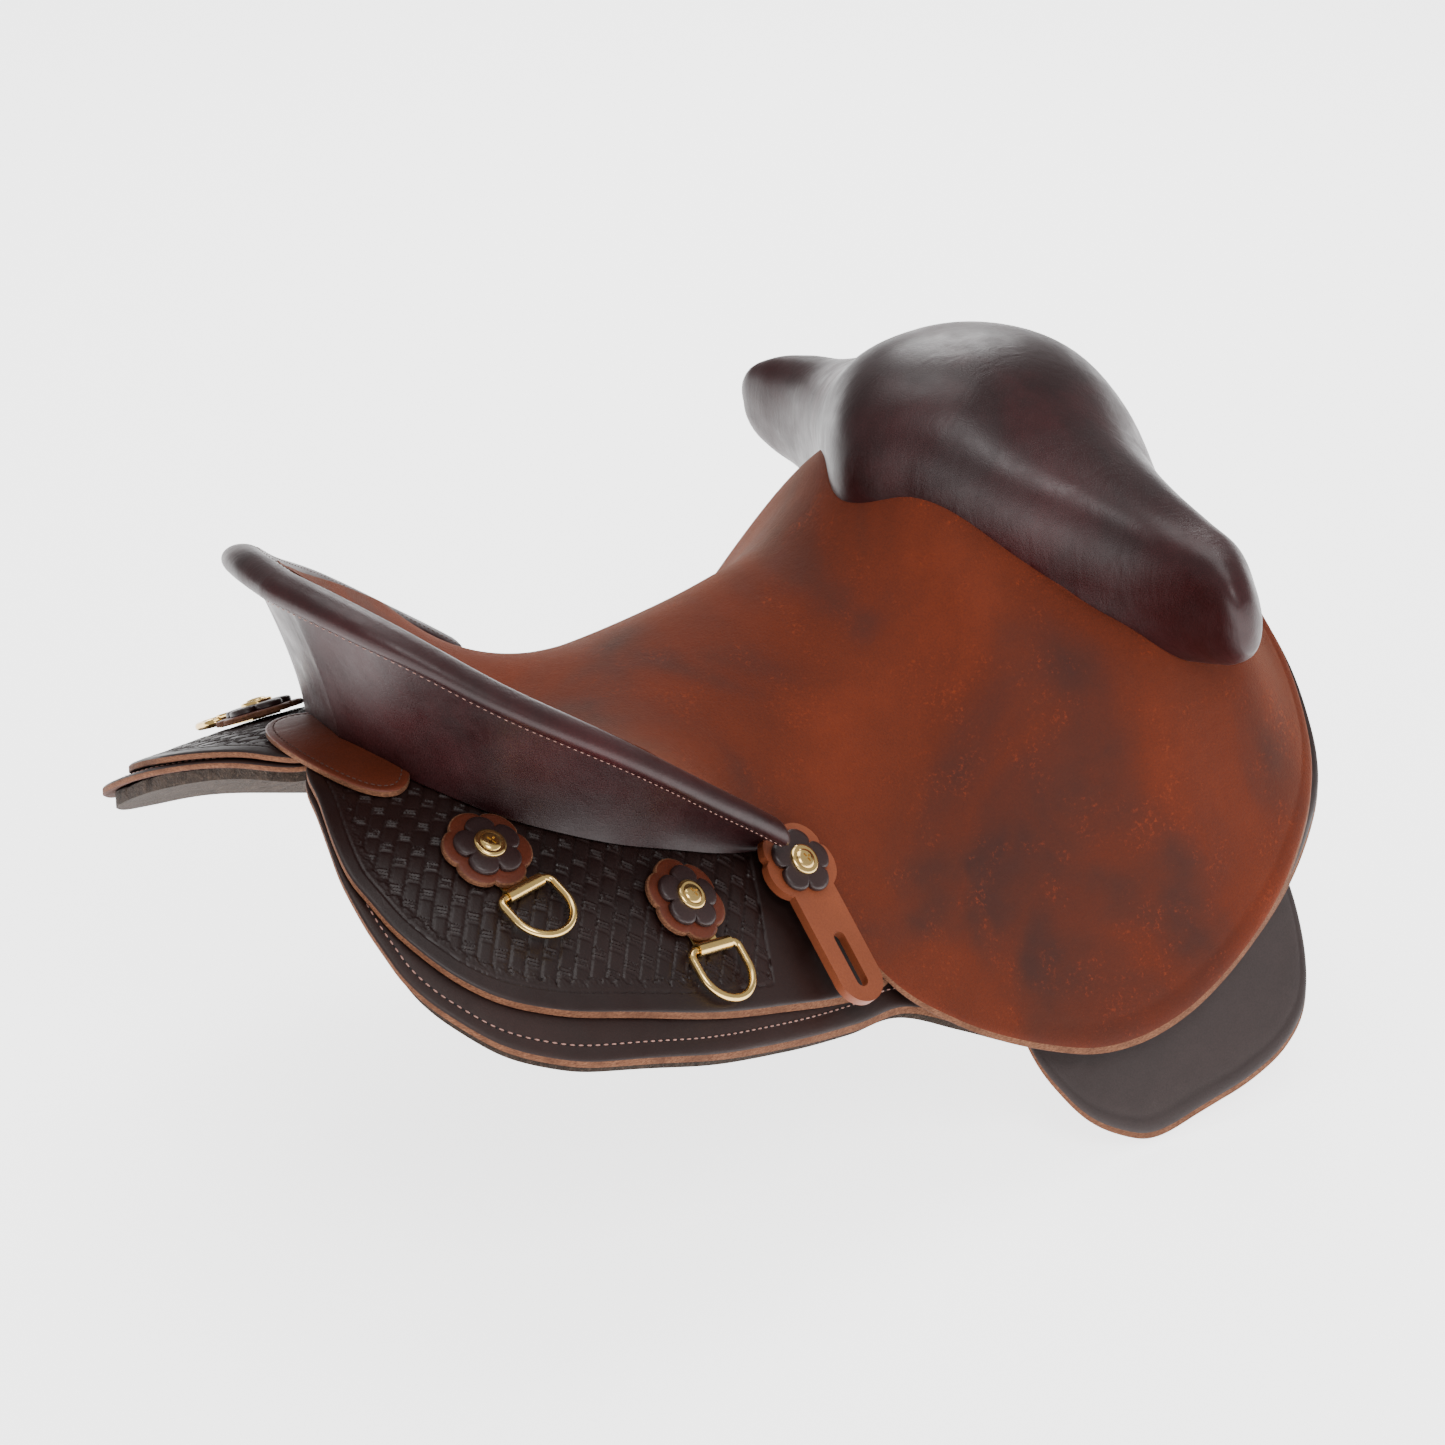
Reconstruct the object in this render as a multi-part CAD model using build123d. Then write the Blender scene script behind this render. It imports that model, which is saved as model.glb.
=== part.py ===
from build123d import *
import math
import os

# Stock saddle on a half-breed western tree, shown stripped of stirrups and girth.
# Millimetres. X runs forward, Y to the rider's left, Z up. The origin is on the centre
# plane, in the channel that rides over the horse's spine, below the middle of the seat.

# ---- driving dimensions -------------------------------------------------------------
saddle_length = 655.0        # rear edge of the skirts to their front edge
saddle_width = 512.0         # across the sweat flaps
seat_height = 41.0           # seat surface above the origin, at mid length
cantle_height = 160.0        # top of the cantle above the origin
swell_height = 168.0         # top of the pommel above the origin
hem_level = -150.0           # level at which the hem width is stated

cover_thickness = 4.5        # seat and side jockey leather
jockey_thickness = 4.5       # tooled rear jockeys
skirt_thickness = 4.5        # skirts
lining_thickness = 8.5       # wool felt under the skirts
sweat_thickness = 3.5        # sweat flap leather
skin_thickness = 3.2         # leather over the swell and the cantle
patch_thickness = 4.2        # oval patch behind the cantle
sheet_gap = 0.6              # between neighbouring layers
skirt_gap = 1.2              # between the jockeys and the skirts
hinge_gap = 0.8              # round a flap that swings
seat_foam_thickness = 9.0
ground_gap = 1.5             # above and under the foam, and under the strainer
tip_gap = 4.5                # between a bar tip and the skirt, which rises steeply there
bar_gap = 2.0                # between a tree bar and the leather below or beside it
strainer_thickness = 1.5
bar_thickness = 20.0         # wooden tree bars
gullet_radius = 40.0         # arch under the fork
plate_thickness = 3.0        # steel gullet plate
channel_half = 44.0          # half the gap between the bars

roll_width = 23.0            # leather roll round the cantle
roll_height = 17.0
screw_radius = 2.4
screw_clearance = 0.5
cap_radius = 9.0             # brass cap of a rosette screw
cap_height = 3.6
flower_radius = 19.5         # dark flower
flower_thickness = 3.2
base_radius = 25.5           # chestnut scalloped base
base_thickness = 3.4
dee_wire = 2.3               # radius of the dee ring's wire
dee_half = 18.3              # centre line of the wire to the dee's middle
dee_clearance = 0.4
clip_wall = 1.1
clip_length = 25.0
keeper_width = 31.0
keeper_length = 112.0
keeper_thickness = 5.6
keeper_lift = 2.9            # keeper above the hide, clear of it as it swivels
slot_width = 8.0
slot_length = 34.0
nut_radius = 8.0

# ---- shape of the saddle, as stations along X ----------------------------------------
lx = saddle_length / 655.0
wy = saddle_width / 512.0

ridge = [(-320, 50), (-200, 50), (-120, 44), (-60, 36), (0, seat_height), (60, seat_height + 13),
         (100, seat_height + 28), (125, seat_height + 49), (145, seat_height + 71),
         (180, seat_height + 75), (260, seat_height + 61), (350, seat_height + 39)]
hem_half = [(-320, 314), (-200, 308), (-100, 268), (0, 230), (100, 216), (200, 236), (350, 242)]
crown = [(-320, 212), (-200, 212), (-100, 170), (0, 130), (350, 130)]
seat_line = [(-265, cantle_height), (-240, cantle_height - 35), (-210, cantle_height - 71),
             (-170, seat_height + 14), (-130, seat_height - 3), (-85, seat_height - 8),
             (-30, seat_height - 3), (0, seat_height), (60, seat_height + 13)]
crest = [(-264, 0, 0), (-258, 34, -3), (-241, 66, -16), (-205, 98, -46), (-158, 122, -80),
         (-99, 134, -126), (-56, 137, -160)]       # X, half width, below the cantle's top


def smooth(value, low, high):
    """0 below low, 1 above high, and a smooth step between."""
    t = min(1.0, max(0.0, (value - low) / (high - low)))
    return t * t * (3 - 2 * t)


def along(stations, x):
    """Smooth curve through (x, value) stations."""
    if x <= stations[0][0]:
        return stations[0][1]
    if x >= stations[-1][0]:
        return stations[-1][1]
    i = max(k for k in range(len(stations) - 1) if stations[k][0] <= x)

    def rise(k):
        return (stations[k + 1][1] - stations[k][1]) / (stations[k + 1][0] - stations[k][0])

    def slope(k):
        if k == 0:
            return rise(0)
        if k == len(stations) - 1:
            return rise(k - 1)
        before = stations[k][0] - stations[k - 1][0]
        after = stations[k + 1][0] - stations[k][0]
        return (rise(k - 1) * after + rise(k) * before) / (before + after)

    span = stations[i + 1][0] - stations[i][0]
    t = (x - stations[i][0]) / span
    a = (2 * t**3 - 3 * t**2 + 1) * stations[i][1] + (t**3 - 2 * t**2 + t) * span * slope(i)
    b = (3 * t**2 - 2 * t**3) * stations[i + 1][1] + (t**3 - t**2) * span * slope(i + 1)
    return a + b


def barrel(x, y):
    """Top of the side leathers: a barrel over the horse's back, waisted at mid length."""
    x, y = x / lx, abs(y) / wy
    top, radius, half = along(ridge, x), along(crown, x), along(hem_half, x)
    fall = (top - hem_level) / (math.hypot(half, radius) - radius)
    waist = 10 * math.exp(-((x - 95) / 45) ** 2 - ((y - 100) / 45) ** 2)
    flare = 36 * smooth(x, 150, 228) * (1 - smooth(x, 280, 345)) * math.exp(-((y - 158) / 48) ** 2)
    return top - fall * (math.hypot(y, radius) - radius) - waist + flare


crest_half = [(x, half) for x, half, _ in crest]
crest_drop = [(x, drop) for x, _, drop in crest]


def seat(x, y):
    """Top of the seat: a bowl up to the cantle's crest, turning into the barrel forward."""
    xs, ys = x / lx, abs(y) / wy
    half = max(along(crest_half, xs), 30.0)
    middle = along(seat_line, xs)
    edge = cantle_height + along(crest_drop, xs)
    bowl = middle + (edge - middle) * (ys / half) ** 2
    blend = smooth(xs, -130, -30)
    return bowl * (1 - blend) + barrel(x, y) * blend


def bars_dip(x, y):
    """How far the skirts drop to pass under the tree bars."""
    xs, ys = x / lx, abs(y) / wy
    limit = along([(-235, 25), (-200, 78), (-150, 108), (-90, 122), (0, 125), (260, 122)], xs)
    ends = smooth(xs, -235, -205) * (1 - smooth(xs, 262, 292))
    return (bar_thickness + 12) * ends * (1 - smooth(ys, limit - 36, limit))


def under_bars(x, y):
    return barrel(x, y) - bars_dip(x, y)


def tilt(height, x, y):
    """Length of the surface's normal per unit of height."""
    step = 0.5
    dx = (height(x + step, y) - height(x - step, y)) / (2 * step)
    dy = (height(x, y + step) - height(x, y - step)) / (2 * step)
    return math.sqrt(1 + dx * dx + dy * dy)


# ---- layers: how far each top lies under the barrel, measured square to the leather ----
cover_top = -2.5
cover_bottom = cover_top + cover_thickness
jockey_top = cover_bottom + sheet_gap
jockey_bottom = jockey_top + jockey_thickness
skirt_top = jockey_bottom + skirt_gap
skirt_bottom = skirt_top + skirt_thickness
lining_top = skirt_bottom + sheet_gap
lining_bottom = lining_top + lining_thickness
sweat_top = lining_bottom + hinge_gap
sweat_bottom = sweat_top + sweat_thickness
foam_top = cover_bottom + ground_gap
foam_bottom = foam_top + seat_foam_thickness
strainer_top = foam_bottom + ground_gap
strainer_bottom = strainer_top + strainer_thickness
bar_top = strainer_bottom + ground_gap
patch_top = jockey_top - sheet_gap - patch_thickness
floor_z = -300.0


# ---- building in bands: closed sections across the saddle, lofted along X -----------------
def curve(points):
    """Spline with even parameters, so that neighbouring sections share their knots."""
    return Edge.make_spline(points, parameters=[k / (len(points) - 1) for k in range(len(points))])


def section(x, height, top, bottom, low, high, count):
    """Closed section of a layer, from one half width to another, at one X."""
    ys = [low + (high - low) * k / count for k in range(count + 1)]
    upper = [Vector(x, y, height(x, y) - top * tilt(height, x, y)) for y in ys]
    lower = [Vector(x, y, height(x, y) - bottom * tilt(height, x, y)) for y in reversed(ys)]
    return Wire([curve(upper), Edge.make_line(upper[-1], lower[0]),
                 curve(lower), Edge.make_line(lower[-1], upper[0])])


def band(height, top, bottom, inner, outer, stations, count=12):
    """Layer between two plan edges; with no inner edge it runs across both halves."""
    wires = []
    for x in stations:
        high = along(outer, x) * wy
        low = -high if inner is None else along(inner, x) * wy
        wires.append(section(x * lx, height, top, bottom, low, high, count))
    return Solid.make_loft(wires)


def ground(height, depth, stations, half):
    """Everything under a surface, down to a flat floor, to cut other pieces with."""
    wires = []
    for x in stations:
        ys = [wy * half * (k / 12 - 1) for k in range(25)]
        top = [Vector(x * lx, y, height(x * lx, y) - depth * tilt(height, x * lx, y)) for y in ys]
        corners = [Vector(x * lx, ys[-1], floor_z), Vector(x * lx, ys[0], floor_z)]
        wires.append(Wire([curve(top), Edge.make_line(top[-1], corners[0]),
                           Edge.make_line(*corners), Edge.make_line(corners[1], top[0])]))
    return Solid.make_loft(wires)


def steps(low, high, pitch):
    """Even stations from low to high, about pitch apart."""
    count = max(2, round((high - low) / pitch))
    return [low + (high - low) * k / count for k in range(count + 1)]


def place_on(height, depth, x, y, turn=0.0):
    """Plane on a layer: Z out of the leather, X down the slope, turned about Z."""
    x, y = x * lx, y * wy
    step = 0.5
    dx = (height(x + step, y) - height(x - step, y)) / (2 * step)
    dy = (height(x, y + step) - height(x, y - step)) / (2 * step)
    normal = Vector(-dx, -dy, 1).normalized()
    at = Vector(x, y, height(x, y)) - normal * depth
    down = Vector(0, 1 if y > 0 else -1, 0)
    down = (down - normal * down.dot(normal)).normalized()
    return Plane(origin=at, x_dir=down.rotate(Axis((0, 0, 0), normal), turn), z_dir=normal)


# ---- plan edges of the left half, as half widths along X ---------------------------------
middle_gap = 1.8
skirt_inner = [(-305, 96), (-300, 80), (-292, 58), (-284, 38), (-277, 20), (-270, 9), (-262, 3.5),
               (-250, middle_gap), (-230, middle_gap), (-218, 12), (-200, 36), (-185, 44),
               (-165, 44), (270, 44), (290, 44), (302, 54), (316, 70), (330, 84), (340, 97), (351, 121), (354, 134)]
skirt_outer = [(-305, 136), (-300, 150), (-292, 163), (-274, 183), (-250, 197), (-226, 205),
               (-164, 211), (-100, 206), (-39, 198), (0, 193), (40, 201), (100, 217), (160, 229),
               (220, 232), (275, 221), (310, 207), (335, 191), (345, 179), (351, 164), (354, 152)]
bar_stations = steps(-200, 262, 21)
skirt_stations = ([-305, -300, -292, -284, -277, -270, -262, -256, -250, -240, -230, -224, -218,
                   -208] + bar_stations
                  + [270, 277, 284, 290, 296, 302, 309, 316, 323, 330, 335, 340, 345, 350, 354])
jockey_inner = [(-299, 82), (-294, 66), (-287, 50), (-281, 36), (-274, 17), (-268, 7), (-262, 3),
                (-256, middle_gap), (-234, middle_gap), (-228, 4), (-222, 11), (-214, 26), (-206, 42),
                (-188, 72), (-145, 98), (-90, 109), (-50, 112), (-20, 122), (0, 142), (4, 152)]
jockey_outer = [(-299, 100), (-296, 118), (-290, 136), (-280, 153), (-264, 169), (-240, 182),
                (-215, 190), (-155, 198), (-81, 195), (-20, 189), (0, 182), (4, 176)]
jockey_stations = [-299, -294, -287, -281, -274, -268, -262, -256, -245, -234, -228, -222, -214,
                   -206, -188, -168, -145, -118, -90, -70, -50, -34, -20, -8, 0, 4]
seat_outer = [(-258, 10), (-253, 28), (-236, 58), (-201, 90), (-155, 114), (-99, 126), (-62, 128),
              (-42, 128), (-34, 134), (-28, 150), (-22, 172), (-6, 194), (26, 210), (89, 227),
              (140, 237)]
seat_stations = [-258, -253, -245, -236, -220, -201, -180, -155, -128, -99, -80, -62, -50, -42, -34,
                 -28, -22, -14, -6, 8, 26, 50, 75, 100, 120, 140]
flap_inner = [(140, 0), (155, 28), (176, 58), (193, 92), (212, 122), (232, 141), (262, 144),
              (285, 140), (300, 128), (309, 112), (316, 104), (324, 103), (332, 109), (338, 121),
              (341, 130), (343, 139)]
flap_outer = [(140, 237), (185, 243), (231, 238), (276, 225), (311, 206), (325, 193), (333, 183),
              (339, 168), (341, 160), (343, 149)]
lobe_inner = [(291, 58), (296, 54), (303, 55), (311, 62), (320, 78), (328, 94), (332, 103)]
lobe_outer = [(291, 66), (296, 78), (303, 94), (311, 111), (320, 118), (332, 120)]
lobe_step = 0.15             # the lobe is let into the rest of the hide by this much
foam_outer = [(-244, 12), (-238, 28), (-221, 54), (-190, 80), (-150, 98), (-99, 106), (-40, 104),
              (40, 94), (110, 74), (134, 56)]
strainer_outer = [(-150, 60), (-120, 84), (-40, 88), (40, 82), (105, 62), (126, 48)]
bar_outer = [(-200, 62), (-180, 75), (-150, 91), (-90, 99), (0, 101), (100, 101), (200, 99),
             (262, 97)]
tip_inner = [(264, 70), (285, 74), (306, 86), (318, 98)]
tip_outer = [(264, 118), (290, 124), (308, 122), (318, 112)]
sweat_outer = [(86, 199), (90, 210), (98, 222), (111, 233), (140, 245), (181, 253), (220, 256),
               (254, 253), (276, 244), (289, 231), (296, 214)]
sweat_line = 180.0           # half width at which a sweat flap hangs from its strip
strip_width = 14.0
swing_room = 8.0             # between the strip and the flap's sewn edge
patch_long, patch_short, patch_x = 55.0, 27.0, -243.0
rosettes = {"rear": (-222, 105, -8.0), "mid": (-123, 150, -8.0)}
keeper_at = (-41, 141, -7.0)
cantle_base = [(-238, 0), (-232, 28), (-222, 55), (-196, 88), (-150, 113), (-94, 124), (-52, 127)]
screw_holes = [(x, y) for x, y, _ in rosettes.values()] + [keeper_at[:2]]
slab_stations = steps(-300, 345, 15)


def both_sides(name, left):
    """The left piece and its mirror image, as two nodes."""
    return {name + "_left": left, name + "_right": mirror(left, about=Plane.XZ)}


def drill(piece, radius):
    """Screw holes of a radius, square to the leather, through a left-hand layer."""
    for x, y in screw_holes:
        piece = piece - place_on(barrel, jockey_top, x, y).location * Cylinder(radius, 90)
    return piece


def one_solid(shape):
    """The largest solid of a result, as a plain solid."""
    return max(shape.solids(), key=lambda s: s.volume)


# ---- leather and felt -----------------------------------------------------------------
def skirts():
    leather = band(under_bars, skirt_top, skirt_bottom, skirt_inner, skirt_outer,
                   skirt_stations, 28)
    felt = band(under_bars, lining_top, lining_bottom, skirt_inner, skirt_outer,
                skirt_stations, 28)
    leather = drill(leather, nut_radius * 0.45 + 0.4)
    felt = drill(felt, nut_radius + 1.0)
    return both_sides("skirt", one_solid(leather)) | both_sides("skirt_lining", one_solid(felt))


def rear_jockeys():
    sheet = band(barrel, jockey_top, jockey_bottom, jockey_inner, jockey_outer, jockey_stations)
    return both_sides("rear_jockey", one_solid(drill(sheet, screw_radius + screw_clearance)))


def seat_leather():
    """Seat and side jockeys in one hide, cut out round the swell and lobed in front of it."""
    middle = [(x, 0.0) for x, _ in seat_outer]
    half = band(seat, cover_top, cover_bottom, middle, seat_outer, seat_stations, 16)
    half = half + band(seat, cover_top, cover_bottom, flap_inner, flap_outer,
                       steps(140, 308, 14) + [316, 324, 332, 337, 340, 342, 343], 16)
    half = half + band(seat, cover_top + lobe_step, cover_bottom - lobe_step, lobe_inner,
                       lobe_outer, [291, 293, 296, 303, 311, 320, 328, 332], 6)
    half = one_solid(half)
    return {"seat_cover": one_solid(half + mirror(half, about=Plane.XZ))}


def seat_inside():
    def between(low, high):
        return [low] + [x for x in seat_stations if low + 3 < x < high - 3] + [high]

    foam = band(seat, foam_top, foam_bottom, None, foam_outer, between(-244, 134), 24)
    plate = band(seat, strainer_top, strainer_bottom, None, strainer_outer, between(-150, 126), 20)
    return {"seat_foam": one_solid(foam - plate), "seat_strainer": plate}


def patch_body(grow, top, bottom):
    """Oval laid over the barrel between two depths, larger than the patch by grow."""
    outer = [(patch_x + (patch_short + grow) * math.sin(a),
              (patch_long + grow) * max(0.16, math.cos(a)) ** 0.7) for a in
             (math.pi * (k / 12 - 0.5) for k in range(13))]
    return band(barrel, top, bottom, None, outer, [x for x, _ in outer], 16)


def patch():
    """Oval patch sewn over the meeting of the two rear jockeys."""
    return {"rear_patch": patch_body(0, patch_top, jockey_top - sheet_gap)}


def sweat_flaps():
    """Under flap, and the strip it is sewn to, apart by the hinge gap."""
    hang = [(0, sweat_line)]
    flap = band(barrel, sweat_top, sweat_bottom, hang, sweat_outer,
                [86, 88, 91, 96, 103, 111, 125] + steps(140, 260, 20) + [268, 276, 283, 289, 293,
                                                                         296], 8)
    above = [(0, sweat_line - swing_room - strip_width)]
    under = [(0, sweat_line - swing_room)]
    strip = band(barrel, lining_bottom + 2 * sheet_gap, sweat_bottom, above, under,
                 steps(90, 292, 12), 4)
    return both_sides("sweat_flap", flap) | both_sides("sweat_strip", strip)


# ---- the tree ---------------------------------------------------------------------------
def lower_of(a, b, ease=3.0):
    """A little under the lower of two heights, turning smoothly from one to the other."""
    least = min(a, b)
    return least - ease * math.log(math.exp((least - a) / ease) + math.exp((least - b) / ease))


def seat_or_jockey(x, y):
    """Top of a tree bar: under the seat, and under the jockeys where the seat rises."""
    bowl = seat(x, y) - bar_top * tilt(seat, x, y)
    side = barrel(x, y) - (jockey_bottom + bar_gap) * tilt(barrel, x, y)
    return lower_of(bowl, side)


def under_hide(x, y):
    """Top of a bar tip, under the front of the hide."""
    return barrel(x, y) - (cover_bottom + sheet_gap) * tilt(barrel, x, y)


def bar_section(x, low, high, top_height, gap):
    ys = [low + (high - low) * k / 12 for k in range(13)]
    deep = skirt_top - gap
    upper = [Vector(x, y, top_height(x, y)) for y in ys]
    lower = [Vector(x, y, under_bars(x, y) - deep * tilt(under_bars, x, y)) for y in reversed(ys)]
    return Wire([curve(upper), Edge.make_line(upper[-1], lower[0]),
                 curve(lower), Edge.make_line(lower[-1], upper[0])])


def tree_bars():
    """A wooden bar on each side, and its rawhide tip ahead of the fork."""
    body = Solid.make_loft([
        bar_section(x * lx, (channel_half + 4) * wy, along(bar_outer, x) * wy,
                    seat_or_jockey, bar_gap)
        for x in bar_stations])
    tip = Solid.make_loft([
        bar_section(x * lx, along(tip_inner, x) * wy, along(tip_outer, x) * wy,
                    under_hide, tip_gap)
        for x in steps(264, 318, 7)])
    return both_sides("tree_bar", body) | both_sides("bar_tip", tip)


def cantle_frames():
    """Along the crest, half a station apart: base point, top point and the way outward."""
    last = len(crest) - 1

    def at(rows, column, t):
        return along([(k, row[column]) for k, row in enumerate(rows)], t)

    frames = []
    for k in range(2 * last + 1):
        t = k / 2
        ahead, behind = min(t + 0.3, last), max(t - 0.3, 0)
        top = Vector(at(crest, 0, t) * lx, at(crest, 1, t) * wy, cantle_height + at(crest, 2, t))
        base = Vector(at(cantle_base, 0, t) * lx, at(cantle_base, 1, t) * wy, 0)
        base.Z = barrel(base.X, base.Y) - jockey_top
        run = Vector((at(crest, 0, ahead) - at(crest, 0, behind)) * lx,
                     (at(crest, 1, ahead) - at(crest, 1, behind)) * wy, 0)
        out = Vector(-1, 0, 0) if k == 0 else Vector(-run.Y, run.X, 0).normalized()
        frames.append((base, top, out))
    return frames


def flip(point):
    return Vector(point.X, -point.Y, point.Z)


def across(sections, closed_curve):
    """Loft through sections given for the left half, from the right end to the left end."""
    whole = [[flip(p) for p in s] for s in reversed(sections[1:])] + sections
    if closed_curve:
        wires = [Wire([Edge.make_spline(s, periodic=True, parameters=[
            k / len(s) for k in range(len(s) + 1)])]) for s in whole]
    else:
        wires = [Wire.make_polygon(s, close=True) for s in whole]
    return Solid.make_loft(wires)


def cantle_board(start, end, top_drop):
    """Curved board between two depths inward from the cantle's back, standing on the jockeys."""
    sections = []
    for base, top, out in cantle_frames():
        high = top + out * 7 - Vector(0, 0, top_drop)
        lean = (high - base) / (high.Z - base.Z)
        feet = []
        for depth in (start, end):
            foot = base - out * depth
            lift = (2.5 * sheet_gap - jockey_top) * tilt(barrel, foot.X, foot.Y)
            feet.append(foot + lean * (barrel(foot.X, foot.Y) + lift - foot.Z))
        sections.append([feet[0], high - out * start, high - out * end, feet[1]])
    return across(sections, False)


def keeper_room(side):
    """Space that a keeper's head and strap turn in, down to the jockey."""
    x, y, _ = keeper_at
    return place_on(barrel, jockey_top, x, side * y).location * Cylinder(
        base_radius + 2, 40, align=(Align.CENTER, Align.CENTER, Align.MIN))


def cantle(known):
    cover = cantle_board(0, skin_thickness, roll_height * 0.85)
    board = cantle_board(skin_thickness + bar_gap, skin_thickness + 12, roll_height * 0.85 + 2)
    seat_side = ground(seat, bar_top, steps(-290, -200, 6) + steps(-190, 0, 10), 150)
    board = (board & seat_side) - known["seat_cover"] - known["seat_foam"]
    over_patch = patch_body(1.5, patch_top - 2 * sheet_gap, jockey_top + 4)
    for piece in (known["tree_bar_left"], known["tree_bar_right"], over_patch,
                  keeper_room(1), keeper_room(-1)):
        cover, board = cover - piece, board - piece
    return {"cantle_back_cover": one_solid(cover), "tree_cantle": one_solid(board)}


def cantle_roll(backing):
    sections = []
    frames = cantle_frames()
    for k, (_, top, out) in enumerate(frames):
        fade = 0.72 if k == len(frames) - 1 else 1.0
        middle = top + out * roll_width * 0.44 - Vector(0, 0, roll_height * 0.42)
        side = out * roll_width * 0.5 * fade
        up = Vector(0, 0, roll_height * 0.5 * fade)
        sections.append([middle + side * math.cos(a) + up * math.sin(a)
                         for a in (2 * math.pi * j / 14 for j in range(14))])
    roll = across(sections, True) - ground(barrel, cover_top - sheet_gap, slab_stations, 200)
    for piece in backing.values():
        roll = roll - piece
    return {"cantle_roll": one_solid(roll)}


# ---- the swell ----------------------------------------------------------------------------
# half width, rear X, front X, top below the swell's top, bottom Z, X of the top and the bottom
swell_stations = [(0, 124, 338, 0, -20, 205, 230), (40, 148, 330, -8, -20, 208, 235),
                  (80, 178, 312, -37, -20, 216, 240), (120, 203, 296, -58, -14, 232, 255),
                  (155, 219, 286, -73, 0, 243, 263), (182, 224, 276, -76, 10, 244, 262),
                  (200, 224, 262, -74, 24, 236, 250), (212, 224, 252, -76, 38, 231, 242),
                  (221, 228, 244, -88, 52, 232, 238)]
gullet_top = 78.0
fork_rear, fork_front, fork_half = 218.0, 262.0, 94.0


def swell_section(station, inset):
    half, rear, front, drop, bottom, crown_x, foot_x = station
    high = swell_height + drop - inset
    low = bottom + inset
    middle, reach = (rear + front) / 2 * lx, (front - rear) / 2 * lx - inset
    centre, rise = (high + low) / 2, (high - low) / 2
    top_lean, foot_lean = crown_x * lx - middle, foot_x * lx - middle
    points = []
    for j in range(16):
        a = 2 * math.pi * j / 16
        c = math.copysign(abs(math.cos(a)) ** 0.85, math.cos(a))
        s = math.copysign(abs(math.sin(a)) ** 0.85, math.sin(a))
        lean = top_lean * s if s > 0 else -foot_lean * s
        points.append(Vector(middle + reach * c + lean, 0, centre + rise * s))
    width = half * (wy - inset / swell_stations[-1][0])
    return [Vector(p.X, width, p.Z) for p in points]


def swell_loft(inset):
    return across([swell_section(station, inset) for station in swell_stations], True)


def gullet(radius, low, high, floor):
    """Arched tunnel along X, open down to a floor."""
    top_z = gullet_top - gullet_radius
    arch = Pos(low, 0, top_z) * extrude(Plane.YZ * Circle(radius), high - low)
    legs = Box(high - low, 2 * radius, top_z - floor, align=(Align.MIN, Align.CENTER, Align.MAX))
    cut = Pos(low, 0, floor) * Box(high - low, 4 * radius, 200,
                                   align=(Align.MIN, Align.CENTER, Align.MAX))
    return arch + Pos(low, 0, top_z) * legs - cut


def swell(known):
    under = ground(barrel, cover_top - bar_gap, slab_stations, 290)
    tunnel = gullet(gullet_radius, 60 * lx, 400 * lx, -100)
    cover = swell_loft(0) - swell_loft(skin_thickness) - under - tunnel
    core = swell_loft(skin_thickness + sheet_gap)
    block = Pos(fork_rear * lx, 0, 0) * Box((fork_front - fork_rear) * lx, 2 * fork_half * wy, 500,
                                            align=(Align.MIN, Align.CENTER, Align.CENTER))
    bars = ground(barrel, bar_top - 2 * bar_gap, slab_stations, 290)
    fork = (core & block) - tunnel - bars - known["tree_bar_left"] - known["tree_bar_right"]
    wing = Pos(0, (fork_half + sheet_gap) * wy, 0) * Box(
        900, 400, 900, align=(Align.CENTER, Align.MIN, Align.CENTER))
    pad = (core - under) & wing
    low, high = fork_rear * lx + 8, fork_front * lx - 8
    plate = gullet(gullet_radius - sheet_gap, low, high, 12)
    plate = plate - gullet(gullet_radius - sheet_gap - plate_thickness, low - 5, high + 5, -50)
    return {"swell_cover": one_solid(cover), "tree_fork": one_solid(fork),
            "gullet_plate": one_solid(plate), **both_sides("knee_pad", one_solid(pad))}


# ---- rosettes, dees and keepers -----------------------------------------------------------
def flower(radius, lobes, depth, thickness, hole):
    """Flat flower: a wavy edge of round petals, with a screw hole."""
    points = []
    for k in range(lobes * 12):
        a = 2 * math.pi * k / (lobes * 12)
        points.append((radius - depth + depth * abs(math.cos(lobes * a / 2)) ** 0.6) * Vector(
            math.cos(a), math.sin(a)))
    face = make_face(Edge.make_spline(points, periodic=True)) - Circle(hole)
    return extrude(face, thickness)


def screw(reach):
    """Domed cap with a cross recess, on a shank that ends in the nut."""
    dome = Cylinder(cap_radius, cap_height * 0.5, align=(Align.CENTER, Align.CENTER, Align.MIN))
    top = Pos(0, 0, cap_height * 0.5) * Cone(cap_radius, cap_radius * 0.62, cap_height * 0.5,
                                             align=(Align.CENTER, Align.CENTER, Align.MIN))
    slot = Box(6.4, 1.5, 3) + Box(1.5, 6.4, 3)
    shank = Cylinder(screw_radius, reach, align=(Align.CENTER, Align.CENTER, Align.MAX))
    return dome + top - Pos(0, 0, cap_height) * slot + shank


def nut(depth):
    """Flange under the skirt and a barrel up through it, round the screw."""
    flange = Cylinder(nut_radius, 1.2, align=(Align.CENTER, Align.CENTER, Align.MAX))
    barrel_part = Cylinder(nut_radius * 0.45, depth, align=(Align.CENTER, Align.CENTER, Align.MIN))
    bore = Cylinder(screw_radius + 0.05, 40)
    return flange + barrel_part - bore


clip_bore = dee_wire + dee_clearance
clip_outer = clip_bore + clip_wall
clip_drop = base_radius + clip_outer + 0.8      # from the screw down to the dee's bar


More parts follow.
